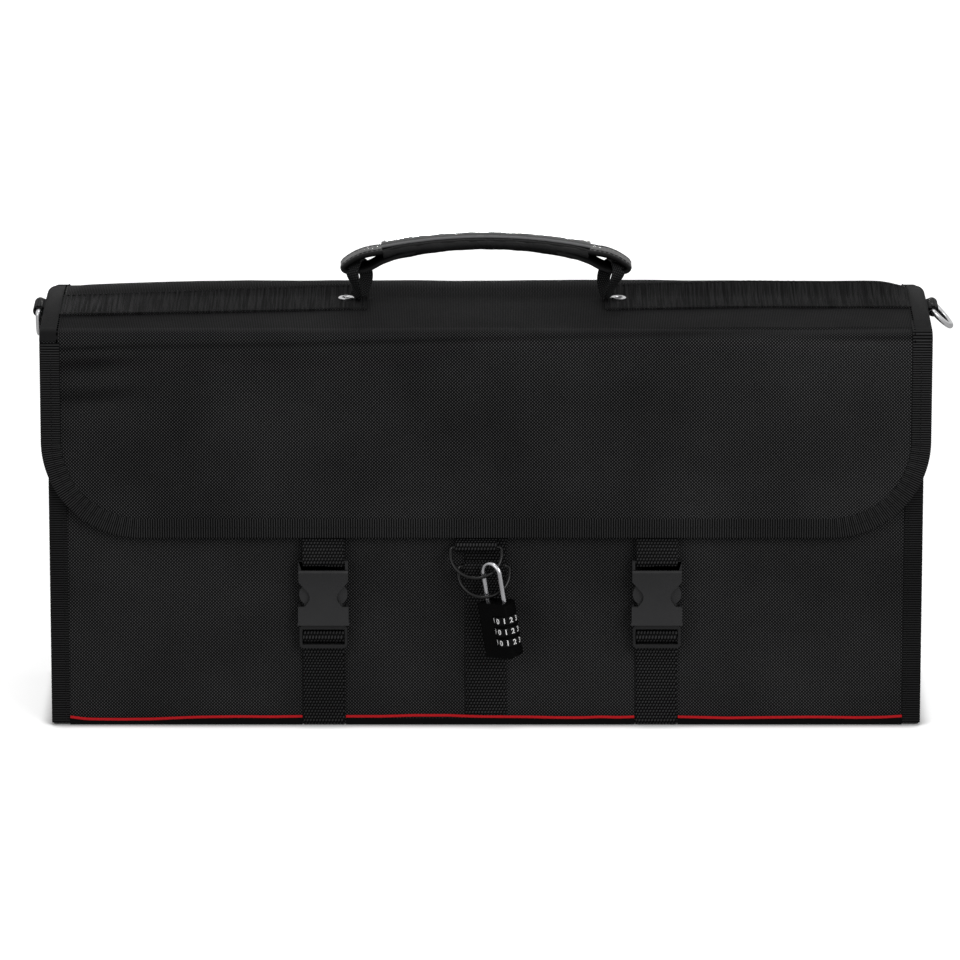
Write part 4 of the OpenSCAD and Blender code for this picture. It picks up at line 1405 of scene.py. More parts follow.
@dataclass
class Bindings:
    """The ribbed tapes on the body's corners, round the flap, on the lid's ends and along the rear.

    Args:
        pitch: Distance from rib to rib.
        groove: Depth of the grooves between the ribs.
        thick: Thickness of the tape.
        corner_w: Width of the corner tape on the front and back.
        corner_d: Width of the corner tape on the ends.
        flap_w: Width of the flap's tape.
    """

    pitch: float = TAPE_PITCH
    groove: float = 0.16 * MM
    thick: float = 1.0 * MM
    corner_w: float = 10 * MM
    corner_d: float = 7 * MM
    flap_w: float = 11 * MM

    def build(self, finishes: Finishes, cover: CoverCloth) -> None:
        """Makes every tape and its stitches."""
        for side in Side:
            for front in (True, False):
                self.corner(finishes, side, front)
        self.flap_edge(finishes, cover)
        for side in Side:
            self.lid_end(finishes, cover, side)
        self.rear_tape(finishes)

    def corner(self, finishes: Finishes, side: Side, front: bool) -> None:
        """Folds a tape round one upright corner of the body."""
        t, w, d = self.thick, self.corner_w, self.corner_d
        face = [(-w, 0.0), (-w, t * 0.7), (-w + 0.3 * MM, t)]
        face += [(-w + (w - 0.4 * MM) * i / 7, t) for i in range(1, 8)]
        turn = arc_points((0, 0), t, 84, 6, 4)
        flank = [(t, -(d - 0.4 * MM) * i / 5) for i in range(5)]
        flank += [(t, -d + 0.3 * MM), (t * 0.7, -d), (0.0, -d)]
        profile = face + turn + flank + [(0.0, 0.0)]
        weights = [0.0, 0.0, 0.5] + [1.0] * 7 + [0.8] * 5 + [1.0] * 5 + [0.5, 0.0, 0.0, 0.0]
        outward, ahead = AXIS_X * side.value, AXIS_Y * (-1 if front else 1)
        base, top = 1.9 * MM, RIM_Z - 0.6 * MM
        at = outward * BODY_HALF_W + ahead * BODY_HALF_D
        count = round((top - base) / (self.pitch / 4))
        stations = straight(at + AXIS_Z * base, at + AXIS_Z * top, count, outward, ahead)
        name = f"{'front' if front else 'back'}_{side.word}"
        tape = sweep(f"{name}_corner_tape", stations, profile, weights)
        finishes.ribs.rib(tape, self.pitch, self.groove, finishes.corner_tape)
        seat(tape, "case", "binding_tape", f"{name}_binding")
        ends, proud = (stations[4], stations[-5]), t + 0.02 * MM
        rows = [
            [s.at - outward * (w - 2.2 * MM) + ahead * proud for s in ends],
            [s.at - ahead * (d - 1.8 * MM) + outward * proud for s in ends],
        ]
        finishes.seam(f"{name}_corner_seam", rows, "case", "binding_tape")

    def flap_line(self, cover: CoverCloth, inset: float, top: float) -> list[Vector]:
        """The flap's outline, moved in by inset, from its right top down and round to its left top."""
        half, r = cover.half - inset, cover.corner - inset
        low = cover.edge_z + inset
        y = (cover.front + cover.back) / 2
        points: list[Pair] = [(half, top)]
        points += arc_points((half - r, low + r), r, 0, -90, 48)
        points += arc_points((-half + r, low + r), r, -90, -180, 48)
        points.append((-half, top))
        return [Vector((x, y, z)) for x, z in points]

    def over_fold(self, cover: CoverCloth, x: float, reach: float) -> list[tuple[Vector, Vector]]:
        """Places inside the cover's edge, from a reach on the lid to the flap, with their outward ways."""
        deep = cover.deep
        rows = [k for k, (y, z) in enumerate(cover.outer) if z >= FLAT_TOP_Z and y <= reach]
        places = []
        for k in reversed(rows):
            y, z = cover.outer[k]
            ny, nz = cover.outward(k)
            places.append((Vector((x, y - ny * deep, z - nz * deep)), Vector((0, ny, nz))))
        return places

    def edge_stations(self, cover: CoverCloth, step: float) -> list[Station]:
        """Stations round the flap's edge from the lid's right end to its left end."""
        right = self.over_fold(cover, cover.half, -38 * MM)
        left = self.over_fold(cover, -cover.half, -64.2 * MM)
        flat = self.flap_line(cover, 0, FLAT_TOP_Z - 1 * MM)
        path = resample([p for p, _ in right] + flat + [p for p, _ in reversed(left)], step)
        made: list[Station] = []
        for i, at in enumerate(path):
            out = -AXIS_Y
            if at.z > FLAT_TOP_Z:
                out = min(right, key=lambda pair: (pair[0].yz - at.yz).length)[1]
            made.append(Station(at, tangent_at(path, i).cross(out).normalized(), out, i * step))
        return made

    def flap_edge(self, finishes: Finishes, cover: CoverCloth) -> None:
        """Folds the tape round the flap's free edge and sews it."""
        t, w = self.thick, self.flap_w
        deep = cover.deep
        back_t = 0.55 * MM
        front = [(w, deep), (w, deep + t * 0.6), (w - 0.4 * MM, deep + t)]
        front += [(w - 0.4 * MM - (w - 0.8 * MM) * i / 7, deep + t) for i in range(1, 8)]
        edge = arc_points((0, deep), t, 80, 180, 4) + [(-t, 0.0)]
        edge += arc_points((0, -deep + t - back_t), t, 180, 270, 4)
        back = [(w * 0.5, -deep - back_t), (w, -deep - back_t), (w, -deep)]
        profile = front + edge + back + [(0.0, -deep), (0.0, deep)]
        weights = [0.0, 0.0, 0.5] + [1.0] * 18 + [0.0] * 5
        tape = sweep("flap_edge_tape", self.edge_stations(cover, self.pitch / 4), profile, weights)
        finishes.ribs.rib(tape, self.pitch, self.groove, finishes.tape)
        cover.fold(tape, "binding_tape", "flap_binding")
        lift = -AXIS_Y * (deep + t + 0.03 * MM)
        row = resample([p + lift for p in self.flap_line(cover, w * 0.52, 233.8 * MM)], 1.0 * MM)
        finishes.seam("flap_edge_seam", [row], "flap", "binding_tape", Stitch(2.9 * MM, 1.9 * MM, 0.6 * MM))

    def lid_end(self, finishes: Finishes, cover: CoverCloth, side: Side) -> None:
        """Wraps a smooth band over one end of the lid."""
        rows: list[list[Vector]] = []
        uvs: list[list[Pair]] = []
        skin = 0.6 * MM
        run = 0.0
        first = next(k for k, p in enumerate(cover.outer) if p[1] > 241.3 * MM)
        seam_row: list[Vector] = []
        for k in range(first, len(cover.outer)):
            y, z = cover.outer[k]
            iy, iz = cover.inner[k]
            ny, nz = cover.outward(k)
            edge_x = cover.halves[k]
            inner_x = min(255.5 * MM, edge_x - 6.5 * MM)
            across = [(inner_x, 0.02 * MM), (inner_x + 0.15 * MM, skin * 0.8)]
            across += [(x, skin) for x in between(inner_x + 0.6 * MM, edge_x, 5)]
            across += [(edge_x + 0.7 * MM, skin * 0.7), (edge_x + 1.0 * MM, -0.1 * MM)]
            if rows:
                run += math.dist(cover.outer[k - 1], cover.outer[k])
            row = [Vector((side.value * x, y + ny * h, z + nz * h)) for x, h in across]
            row.append(Vector((side.value * (edge_x + 1.0 * MM), iy, iz + 0.05 * MM)))
            row.append(Vector((side.value * inner_x, iy, iz + 0.05 * MM)))
            rows.append(row)
            reach = [x for x, _ in across] + [edge_x + 4 * MM, inner_x - 4 * MM, inner_x]
            uvs.append([(run, x) for x in reach])
            off = skin + 0.03 * MM
            seam_row.append(Vector((side.value * (inner_x + 0.9 * MM), y + ny * off, z + nz * off)))
        band = ringed_object(f"lid_{side.word}_end_band", rows, uvs)
        cover.fold(dress(band, finishes.band), "binding_tape", f"lid_{side.word}_binding")
        # The band's seam is sewn in the near-black finish, painted shade where the stitches sink.
        size = Stitch(4.4 * MM, 2.8 * MM, 1.0 * MM)
        name = f"lid_{side.word}_end_seam"
        finishes.seam(name, [seam_row[:-4]], "lid", "binding_tape", size, finishes.shade_black)

    def rear_tape(self, finishes: Finishes) -> None:
        """Makes the tape on the back that the lid's rear fold turns in."""
        out = [(58.02, 222.0), (58.7, 222.1), (59.0, 222.6), (59.0, 231.0), (59.0, 240.9), (58.75, 241.22)]
        cup = arc_points((55.3, 243.7), 3.0, -45, -86, 6)
        profile = [(y * MM, z * MM) for y, z in out + cup + [(55.4, 240.05), (58.02, 240.05)]]
        weights = [0.0, 0.4, 1.0, 1.0, 1.0, 0.3] + [0.0] * (len(cup) + 2)
        end = 250 * MM
        count = round(2 * end / (self.pitch / 4))
        stations = straight(-AXIS_X * end, AXIS_X * end, count, AXIS_Y, AXIS_Z)
        tape = sweep("rear_tape", stations, profile, weights)
        finishes.ribs.rib(tape, self.pitch, 0.12 * MM, finishes.corner_tape)
        seat(tape, "case", "binding_tape", "rear_hinge_tape")
        row = [Vector((x * MM, 59.03 * MM, 225 * MM)) for x in (-249, 249)]
        finishes.seam("rear_tape_seam", [row], "case", "binding_tape")


# Webbing and buckles


@dataclass
class Straps:
    """The webbing straps and the folded tabs of the hasp rings.

    Args:
        width: Width of the webbing.
        thick: Thickness of the webbing on the body.
        ply: Thickness of each ply behind the flap.
        middles: Middle of each buckle's straps along the front.
        bar_y: Depth position of the buckle's bars, in millimetres.
        bar_z: Height of the adjuster's bar, in millimetres.
        socket_z: Height of the socket's strap bar, in millimetres.
    """

    width: float = 25 * MM
    thick: float = 1.5 * MM
    ply: float = 1.2 * MM
    middles: dict[Side, float] = field(default_factory=lambda: {Side.LEFT: -98 * MM, Side.RIGHT: 103 * MM})
    bar_y: float = -63.4
    bar_z: float = 58.0
    socket_z: float = 104.0

    def ribbon(
        self, finishes: Finishes, name: str, path: list[Vector], thick: float, body: str, node: str
    ) -> None:
        """Sweeps webbing along a path that its inner face follows, and rides it on a body.

        Args:
            finishes: The case's materials.
            name: The piece's name.
            path: The path.
            thick: Thickness of the webbing.
            body: The CAD body that carries it.
            node: The CAD node that it replaces.
        """
        strap = sweep(name, stations_along(path, across=AXIS_X), slab_profile(self.width, thick, 12))
        seat(dress(strap, finishes.webbing), body, "webbing", node)

    def lower(self, finishes: Finishes, side: Side) -> None:
        """Runs a strap under the bottom, up the front and round the adjuster's bar."""
        bar = (self.bar_y, self.bar_z)
        under = [(51.5, 1.45), (20, 1.45), (-20, 1.45), (-50, 1.45), (-56.2, 1.5), (-57.6, 2.0)]
        front = [(-58.15, 3.4), (-58.2, 8), (-58.2, 20), (-58.2, 32), (-58.5, 40), (-59.5, 45.5)]
        through = [(-59.65, 50.5), (-60.3, 53.3), (-61.7, 55.0), (-64.0, 56.0)]
        wrap = arc_points(bar, 2.0, 205, -10, 10)
        tail = [(-60.9, 56.3), (-59.9, 54), (-59.62, 51), (-59.62, 45), (-59.2, 39)]
        path = path_yz(self.middles[side], under + front + through + wrap + tail)
        name = f"{side.word}_lower_strap"
        self.ribbon(finishes, f"{name}_webbing", path, self.thick, "case", name)

    def centre(self, finishes: Finishes) -> None:
        """Sews the plain strap up the middle of the front."""
        path = path_yz(0.0, [(-58.02, 7.6), (-58.02, 50), (-58.02, 100), (-58.02, 134.4)])
        self.ribbon(finishes, "centre_strap_webbing", path, 1.15 * MM, "case", "centre_strap")
        rows = [[Vector((x * MM, -59.2 * MM, z * MM)) for z in (8, 84)] for x in (-10.6, 10.6)]
        finishes.seam("centre_strap_seams", rows, "case", "webbing")

    def lower_tab(self, finishes: Finishes) -> None:
        """Folds the tab of the lower ring over its bar."""
        x = -1.2 * MM
        bar = (-63.5, 101.5)
        up = [(-59.22, 87), (-59.22, 92), (-59.6, 97), (-60.3, 99.6)]
        down = [(-65.9, 98.8), (-64.6, 95), (-62.8, 90.5), (-62.0, 86.2)]
        path = path_yz(x, up + arc_points(bar, 2.85, 5, 190, 9) + down)
        self.ribbon(finishes, "lower_ring_webbing", path, 1.4 * MM, "case", "lower_ring_tab")
        rows = [
            [Vector((x + side * 10.8 * MM, depth * MM, height * MM)) for side in (-1, 1)]
            for height, depth in ((87.4, -62.25), (91.6, -63.35))
        ]
        finishes.seam("lower_ring_tab_seams", rows, "case", "webbing")

    def hung(self, x: float, bar: Pair, inner: float, sewn: float) -> list[Vector]:
        """A path of two plies that hang behind the flap and turn round a bar."""
        back_ply = [(-59.85, sewn), (-59.85, 135), (-59.85, 122), (-60.2, 117.6)]
        down = [(-60.2 - 0.5 * k, 117.6 - (117.6 - bar[1] - 2.5) * (k + 1) / 3) for k in range(2)]
        wrap = arc_points(bar, inner, 0, -180, 8)
        ahead = bar[0] - inner
        up = [(ahead + 0.1, bar[1] + 2.0), (ahead + 1.2, bar[1] + (117.5 - bar[1]) * 0.62), (-60.9, 118.4)]
        front_ply = [(-59.95, 122.5), (-59.9, 135), (-59.9, sewn)]
        return path_yz(x, back_ply + down + wrap + up + front_ply)

    def upper(self, finishes: Finishes, side: Side) -> None:
        """Hangs a strap from the flap into its buckle."""
        name = f"{side.word}_upper_strap"
        path = self.hung(self.middles[side], (self.bar_y, self.socket_z), 1.75, 150)
        self.ribbon(finishes, f"{name}_webbing", path, self.ply, "flap", name)

    def upper_tab(self, finishes: Finishes) -> None:
        """Hangs the tab of the upper ring from the flap."""
        path = self.hung(-6 * MM, (-63.5, 113.5), 1.42, 144)
        self.ribbon(finishes, "upper_ring_webbing", path, self.ply, "flap", "upper_ring_tab")

    def build(self, finishes: Finishes) -> None:
        """Makes every strap and tab."""
        for side in Side:
            self.lower(finishes, side)
            self.upper(finishes, side)
        self.centre(finishes)
        self.lower_tab(finishes)
        self.upper_tab(finishes)


@dataclass
class Piping:
    """The red piping at the foot of the front, between the straps.

    Args:
        radius: The piping's radius.
        edge_h: Height of the plain edging below it.
        depth: Depth position of the cord.
        height: Height at which it is sewn in.
        wave: How far it strays from that height along the front, in millimetres.
        spans: Its stretches along the front, in millimetres.
    """

    radius: float = 0.85 * MM
    edge_h: float = 3.9 * MM
    depth: float = -59.2 * MM
    height: float = 5.4 * MM
    wave: Line = (
        (-252, 0.2), (-241, -1.2), (-222, -1.4), (-203, -1.2), (-176, 0.0), (-148, 0.4), (-131, 0.2),
        (-112, 0.5), (-62, 0.5), (-45, 1.1), (-23, 1.1), (-6, 0.4), (28, 0.1), (44, -0.3), (58, -0.3),
        (66, 0.2), (80, -0.1), (90, 0.2), (117, 0.2), (146, -0.5), (162, -0.3), (198, 0.1), (227, -0.3),
        (241, 0.0), (252, 0.7),
    )
    spans: Line = ((-251.8, -111.2), (-84.8, 89.8), (116.2, 251.8))

    def build(self, finishes: Finishes) -> None:
        """Makes the cords and the plain edging that they are sewn in by."""
        cords, edges = [], []
        for i, (start, end) in enumerate(self.spans):
            points = []
            for x in between(start, end, round((end - start) / 10.0)):
                points.append(Vector((x * MM, self.depth, self.height + along(self.wave, x) * MM)))
            line = stations_along(smooth_path(points, 2 * MM), out=-AXIS_Y)
            cords.append(sweep(f"cord_{i}", line, arc_points((0, 0), self.radius, 0, 345, 23)))
        seat(dress(join("front_piping_cord", cords), finishes.piping), "case", "piping", "front_piping")
        profile = slab_profile(self.edge_h, 0.35 * MM, 4)
        for i, span in enumerate(self.spans):
            points = [Vector((x * MM, -58.02 * MM, 0.5 * MM + self.edge_h / 2)) for x in span]
            edges.append(sweep(f"edge_{i}", stations_along(resample(points, 10 * MM), out=-AXIS_Y), profile))
        seat(dress(join("front_foot_edging", edges), finishes.edging), "case", "binding_tape")


@dataclass
class Buckles:
    """The two side-release buckles.

    Args:
        edge: Width of the rounding on the moulded edges.
    """

    edge: float = 0.45 * MM

    def moulded(self, plastic: Material, node: str, body: str, edge: float) -> None:
        """Gives one moulded part its rounded edges and finish."""
        part = dress(merged_copy(node, f"{node}_moulding", 32), plastic)
        bevel(part, edge, 3)
        seat(part, body, "buckle_plastic", node)

    def build(self, finishes: Finishes) -> None:
        """Makes both buckles."""
        for side in Side:
            name = f"{side.word}_buckle"
            self.moulded(finishes.plastic, f"{name}_socket", "flap", self.edge)
            # The frames take the darker copy of the plastic, as painted shade.
            self.moulded(finishes.shaded_plastic, f"{name}_frame", "case", self.edge)
            for prong in Side:
                node = f"{name}_{prong.word}_prong"
                self.moulded(finishes.plastic, node, node, self.edge * 0.6)


# Lid fittings and handle


@dataclass
class LidFittings:
    """The two webbing strips on the lid, their eyelets, and the shoulder rings at its ends.

    Args:
        inner_x: Inner end of the strips.
        outer_x: Outer end of the strips, under the end bands.
        centre_y: Depth position of the strips' middle.
        width: Width of the strips.
        thick: Thickness of the strips.
        ridge: Distance from ridge to ridge.
        height: Height of the ridges.
        drift: How far the strips are sewn off their line, along the lid.
        bar: The shoulder ring's bar, beside the middle and above the ground.
        tab_r: Outer radius of the tab round the bar.
        eyelet_x: Where each eyelet stands along the lid, in millimetres.
        eyelet_rim: Section of an eyelet's rim as radius and height, in millimetres.
    """

    inner_x: float = 72 * MM
    outer_x: float = 257 * MM
    centre_y: float = HANDLE_Y
    width: float = 50 * MM
    thick: float = 1.5 * MM
    ridge: float = 3.4 * MM
    height: float = 0.42 * MM
    drift: Line = (
        (-254 * MM, -14 * MM), (-155 * MM, -6 * MM), (-100 * MM, -1 * MM), (-80 * MM, 0.0),
        (80 * MM, 0.0), (110 * MM, 2 * MM), (160 * MM, 6 * MM), (254 * MM, 4.5 * MM),
    )
    bar: Pair = (270.75 * MM, 243.7 * MM)
    tab_r: float = 3.5 * MM
    eyelet_x: dict[Side, float] = field(default_factory=lambda: {Side.LEFT: -84.8, Side.RIGHT: 80.2})
    eyelet_rim: Line = (
        (4.7, 0.0), (4.8, 0.35), (4.4, 0.75), (3.7, 0.95), (3.0, 0.85), (2.6, 0.45), (2.5, -0.4),
        (2.9, -0.4),
    )

    def strip(self, finishes: Finishes, cover: CoverCloth, side: Side) -> None:
        """Lays one ridged strip over the crown of the lid and sews it down."""
        half = self.width / 2
        cuts = 16
        ys = [self.centre_y + half - self.width * i / cuts for i in range(cuts + 1)]
        top = [(y, cover.top_at(y) + self.thick) for y in ys]
        low_y, high_y = self.centre_y - half, self.centre_y + half
        rises = (self.thick * 0.8, 0.3 * MM)
        left = [(low_y - 0.12 * MM, cover.top_at(low_y) + rise) for rise in rises]
        bottom = [(y, cover.top_at(y) - 0.35 * MM) for y in reversed(ys)]
        right = [(high_y + 0.12 * MM, cover.top_at(high_y) + rise) for rise in reversed(rises)]
        profile = top + left + bottom + right
        weights = [0.3] + [1.0] * (cuts - 1) + [0.3] + [0.0] * (len(profile) - cuts - 1)
        length = self.outer_x - self.inner_x
        stations = []
        for run in between(0.0, length, round(length / (0.55 * MM))):
            x = side.value * (self.inner_x + run)
            stations.append(Station(Vector((x, along(self.drift, x), 0)), AXIS_Y, AXIS_Z, run))
        strip = sweep(f"{side.word}_ridged_strip", stations, profile, weights)
        finishes.ribs.rib(strip, self.ridge, self.height, finishes.strip, 1.1)
        for vert in strip.data.vertices:
            vert.co.z += cover.puff(vert.co.x, vert.co.y)
        seat(strip, "lid", "webbing", f"{side.word}_top_strip")
        rows = []
        for y in (low_y + 2.2 * MM, high_y - 2.2 * MM):
            z = cover.top_at(y) + self.thick - 0.08 * MM
            line = []
            for run in between(2 * MM, 253.5 * MM - self.inner_x, 29):
                x = side.value * (self.inner_x + run)
                shifted = y + along(self.drift, x)
                line.append(Vector((x, shifted, z + cover.puff(x, shifted))))
            rows.append(line)
        x, lift = side.value * (self.inner_x + 2 * MM), self.thick - 0.05 * MM
        rows.append([Vector((x, y, cover.top_at(y) + lift)) for y in ys[1:-1]])
        finishes.seam(f"{side.word}_strip_seams", rows, "lid", "webbing")

    def ring_tab(self, finishes: Finishes, side: Side) -> None:
        """Folds the tab of one shoulder ring round its bar."""
        bx, bz = self.bar
        places = [(bx - 6.5 * MM, bz + 1.6 * MM), (bx - 3.2 * MM, bz + 2.4 * MM)]
        places += arc_points(self.bar, self.tab_r, 112, -112, 12)
        places += [(bx - 3.2 * MM, bz - 2.4 * MM), (bx - 6.5 * MM, bz - 1.6 * MM)]
        path = smooth_path([Vector((side.value * x, self.centre_y, z)) for x, z in places], 0.6 * MM)
        profile = slab_profile(22.0 * MM, 1.35 * MM, 10)
        stations = stations_along(path, across=AXIS_Y * side.value)
        tab = dress(sweep(f"{side.word}_shoulder_tab", stations, profile), finishes.webbing)
        seat(tab, "lid", "webbing", f"{side.word}_ring_tab")

    def eyelet(self, finishes: Finishes, side: Side) -> None:
        """Makes one eyelet's rolled rim, and a near-black disc of painted shade down its hole."""
        node = f"{side.word}_eyelet"
        centre = Vector((self.eyelet_x[side] * MM, self.centre_y, high(node).z - 0.95 * MM))
        rim = [(r * MM, z * MM) for r, z in self.eyelet_rim]
        seat(dress(lathe(f"{node}_rim", rim, centre), finishes.nickel), "lid", "bright_metal", node)
        bore = self.eyelet_rim[-2][0] * MM
        hole = [(r, z * MM) for r, z in ((0.05 * MM, 0.1), (bore, 0.1), (bore, -0.3), (0.05 * MM, -0.3))]
        # The hole's disc is painted shade.
        seat(dress(lathe(f"{node}_hole", hole, centre), finishes.shade_black), "lid", "webbing")

    def build(self, finishes: Finishes, cover: CoverCloth) -> None:
        """Makes the strips, tabs, eyelets and rings."""
        for side in Side:
            self.strip(finishes, cover, side)
            self.ring_tab(finishes, side)
            self.eyelet(finishes, side)
            node = f"{side.word}_side_ring"
            ring = dress(merged_copy(node, f"{side.word}_shoulder_ring", 50), finishes.nickel)
            seat(ring, node, "bright_metal", node)


@dataclass
class Handle:
    """The arched leather handle: one strap, its padded sleeve and the two webbing loops.

    Args:
        centre_y: Depth position of the handle's middle plane.
        arch_z: Height of the arch's centre.
        arch_r: Radius of the arch through the strap's middle.
        half_turn: The sleeve's half-angle in degrees.
        eye: The strap's middle line round the right eye, in millimetres.
        strap_w: Width of the leather strap.
        strap_t: Thickness of the leather strap.
        sleeve_w: Width of the sleeve.
        sleeve_t: Thickness of the sleeve.
        sag: How much further the sleeve reaches down.
        end_sag: How much more it reaches down at its ends, over the strap's inner ply.
        loop_w: Width of the loops' webbing.
        loop_t: Thickness of the loops' webbing.
        loop_line: The right loop's middle line in millimetres, with the webbing's turn in degrees.
        left_foot: How far the left loop stands further out along its path, in millimetres.
    """

    centre_y: float = HANDLE_Y
    arch_z: float = -28.4 * MM
    arch_r: float = 314 * MM
    half_turn: float = 11.48
    eye: Line = (
        (62.8, 279.6), (71.5, 278.1), (78.0, 275.8), (82.4, 273.3), (85.2, 271.2), (86.3, 269.9),
        (85.9, 268.8), (84.6, 268.0), (82.4, 267.7), (76.6, 268.0), (70.0, 269.9), (63.5, 273.4),
    )
    strap_w: float = 17.6 * MM
    strap_t: float = 3.2 * MM
    sleeve_w: float = 18 * MM
    sleeve_t: float = 9 * MM
    sag: float = 1.0 * MM
    end_sag: float = 2.1 * MM
    loop_w: float = 8.4 * MM
    loop_t: float = 1.5 * MM
    loop_line: tuple[tuple[float, ...], ...] = (
        (74.4, 11.6, 250.4, 70), (74.4, 7.0, 252.0, 64), (75.0, 3.8, 255.6, 58),
        (76.6, 1.9, 260.0, 54), (78.8, 1.3, 264.4, 46), (80.2, 2.6, 268.2, 26),
        (79.8, 6.6, 270.6, 6), (79.2, 12.0, 271.2, 0), (77.0, 18.6, 270.4, -4),
        (73.8, 22.3, 266.4, -4), (71.7, 22.6, 261.2, -4), (71.4, 20.8, 256.4, -8),
        (72.2, 17.6, 252.8, -26), (73.6, 13.6, 250.6, -60),
    )
    left_foot: tuple[float, ...] = (4.4, 4.0, 3.0, 2.0, 1.2, 0.6, 0.0, 0.0, 0.0, 0.3, 1.0, 2.0, 3.0, 4.0)

    def arch(self, turn: float, lift: float = 0.0) -> Pair:
        """A place on the arch at an angle from its top, in degrees, lifted outwards."""
        a = math.radians(turn)
        r = self.arch_r + lift
        return r * math.sin(a), self.arch_z + r * math.cos(a)

    def strap_line(self) -> list[Station]:
        """The strap's middle line from its left end round both drooping eyes to its right end."""
        places = [self.arch(t, 1.0 * MM) for t in (0, 2.5, 5, 7.5, 9.8)]
        places += [(x * MM, z * MM) for x, z in self.eye]
        places += [self.arch(t, lift * MM) for t, lift in ((10.7, -4.4), (9.4, -3.2), (7.9, -2.6))]
        right = [Vector((x, self.centre_y, z)) for x, z in places]
        left = [Vector((-p.x, p.y, p.z)) for p in reversed(right[1:])]
        return stations_along(smooth_path(left + right, 0.6 * MM), across=-AXIS_Y)

    def strap(self, finishes: Finishes) -> None:
        """Makes the strap and the two rows of stitches along its edges."""
        w, t = self.strap_w, self.strap_t
        half, r = w / 2, 0.55 * MM
        seams = (half - 2.3 * MM, -half + 2.3 * MM)
        top = []
        for i in range(25):
            a = half - r - (w - 2 * r) * i / 24
            dip = sum(bell(a - s, 0.7 * MM) for s in seams)
            top.append((a, t + 0.2 * MM * (1 - (a / half) ** 2) - 0.28 * MM * dip))
        profile = top + arc_points((-half + r, t - r), r, 105, 180, 3)
        profile += arc_points((-half + r, r), r, 180, 270, 3) + arc_points((half - r, r), r, -90, 0, 3)
        profile += arc_points((half - r, t - r), r, 0, 75, 3)
        profile = [(a, h - t / 2) for a, h in profile]
        line = self.strap_line()
        # The inner face, weighted 0 here, gets painted shade from the strap leather.
        strap = sweep("handle_leather", line, profile, [1.0] * 29 + [0.0] * 8 + [1.0] * 4)
        seat(dress(strap, finishes.strap_leather), "handle", "leather", "handle_strap")
        face = [s.at + s.out * (t / 2 + 0.02 * MM) for s in line]
        rows = [
            [p + AXIS_Y * dy for p in face if p.x * side.value > 64 * MM]
            for dy in seams for side in Side
        ]
        finishes.seam("handle_seams", rows, "handle", "leather", Stitch(2.9 * MM, 2.3 * MM, 0.6 * MM))

    def sleeve(self, finishes: Finishes) -> None:
        """Makes the padded sleeve, with the bead and groove of its seam along both upper edges."""
        rows: list[list[Vector]] = []
        uvs: list[list[Pair]] = []
        wear_and_highlight: list[float] = []
        groove_shade: list[float] = []
        around, count, power = 144, 120, 0.82
        for k in range(count + 1):
            t = k / count
            turn = self.half_turn * (2 * t - 1)
            end = min(t, 1 - t) * count
            rim = 1 - 0.04 * max(0.0, 1 - end / 2.0) ** 2
            row, places = [], []
            for i in range(around):
                angle = 2 * math.pi * i / around
                a, h = math.cos(angle), math.sin(angle)
                px = math.copysign(abs(a) ** power, a) * self.sleeve_w / 2
                ph = math.copysign(abs(h) ** power, h) * self.sleeve_t / 2
                if h < 0:
                    ph -= abs(h) * (self.sag + self.end_sag * (2 * t - 1) ** 2)
                face = math.degrees(math.atan2(h, abs(a)))
                crest = bell(face - 48, 9)
                groove = bell(face - 27, 6)
                bead = (0.6 * crest - 0.9 * groove) * MM
                # Painted highlight on the bead and painted shade in the groove, for the leather's finish.
                wear_and_highlight.append(crest)
                groove_shade.append(0.9 * groove)
                puff = 0.12 * MM * ripple(turn * 0.02, a * 0.01, h * 0.01, 9 * MM)
                puff += 0.1 * MM * math.sin(turn * 2.1 + a)
                size = math.hypot(px, ph)
                grown = (size + bead + puff) / size * rim
                x, z = self.arch(turn, ph * grown)
                row.append(Vector((x, self.centre_y - px * grown, z)))
                places.append((turn * self.arch_r * math.pi / 180, angle * self.sleeve_t))
            places.append((places[0][0], 2 * math.pi * self.sleeve_t))
            rows.append(row)
            uvs.append(places)
        sleeve = dress(ringed_object("padded_sleeve", rows, uvs), finishes.leather)
        mark(sleeve, "wear_and_highlight", wear_and_highlight)
        mark(sleeve, "crease", groove_shade)
        seat(sleeve, "handle", "leather", "grip_sleeve")

    def loop(self, finishes: Finishes, side: Side) -> None:
        """Ties one eye to the lid with a pinched, slightly twisted webbing loop."""
        s = side.value
        keys = self.loop_line
        shift = self.left_foot if side is Side.LEFT else [0.0] * len(keys)
        places = [Vector((s * (x + out) * MM, y * MM, z * MM)) for (x, y, z, _), out in zip(keys, shift)]
        path = smooth_path(places, 0.6 * MM)
        turns = smooth_path([Vector((k[3] * s, i * 10, 0)) for i, k in enumerate(keys)], 0.05)
        stations = []
        for i, at in enumerate(path):
            tangent = tangent_at(path, i)
            turn = math.radians(turns[round(i / (len(path) - 1) * (len(turns) - 1))].x)
            across = Vector((math.cos(turn), math.sin(turn), -0.3 * s * max(0.0, math.cos(turn)) ** 4))
            across = (across - tangent * across.dot(tangent)).normalized()
            stations.append(Station(at, across, across.cross(tangent), i * 0.6 * MM))
        profile = slab_profile(self.loop_w, self.loop_t, 8, 0.15 * MM)
        profile = [(a, h - self.loop_t / 2) for a, h in profile]
        loop = dress(sweep(f"{side.word}_loop_webbing", stations, profile), finishes.loops)
        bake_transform(loop)
        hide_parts(f"{side.word}_handle_loop")
        LOG.info("%s bends between the lid and the handle", loop.name)

    def build(self, finishes: Finishes) -> None:
        """Makes the handle."""
        self.strap(finishes)
        self.sleeve(finishes)
        for side in Side:
            self.loop(finishes, side)


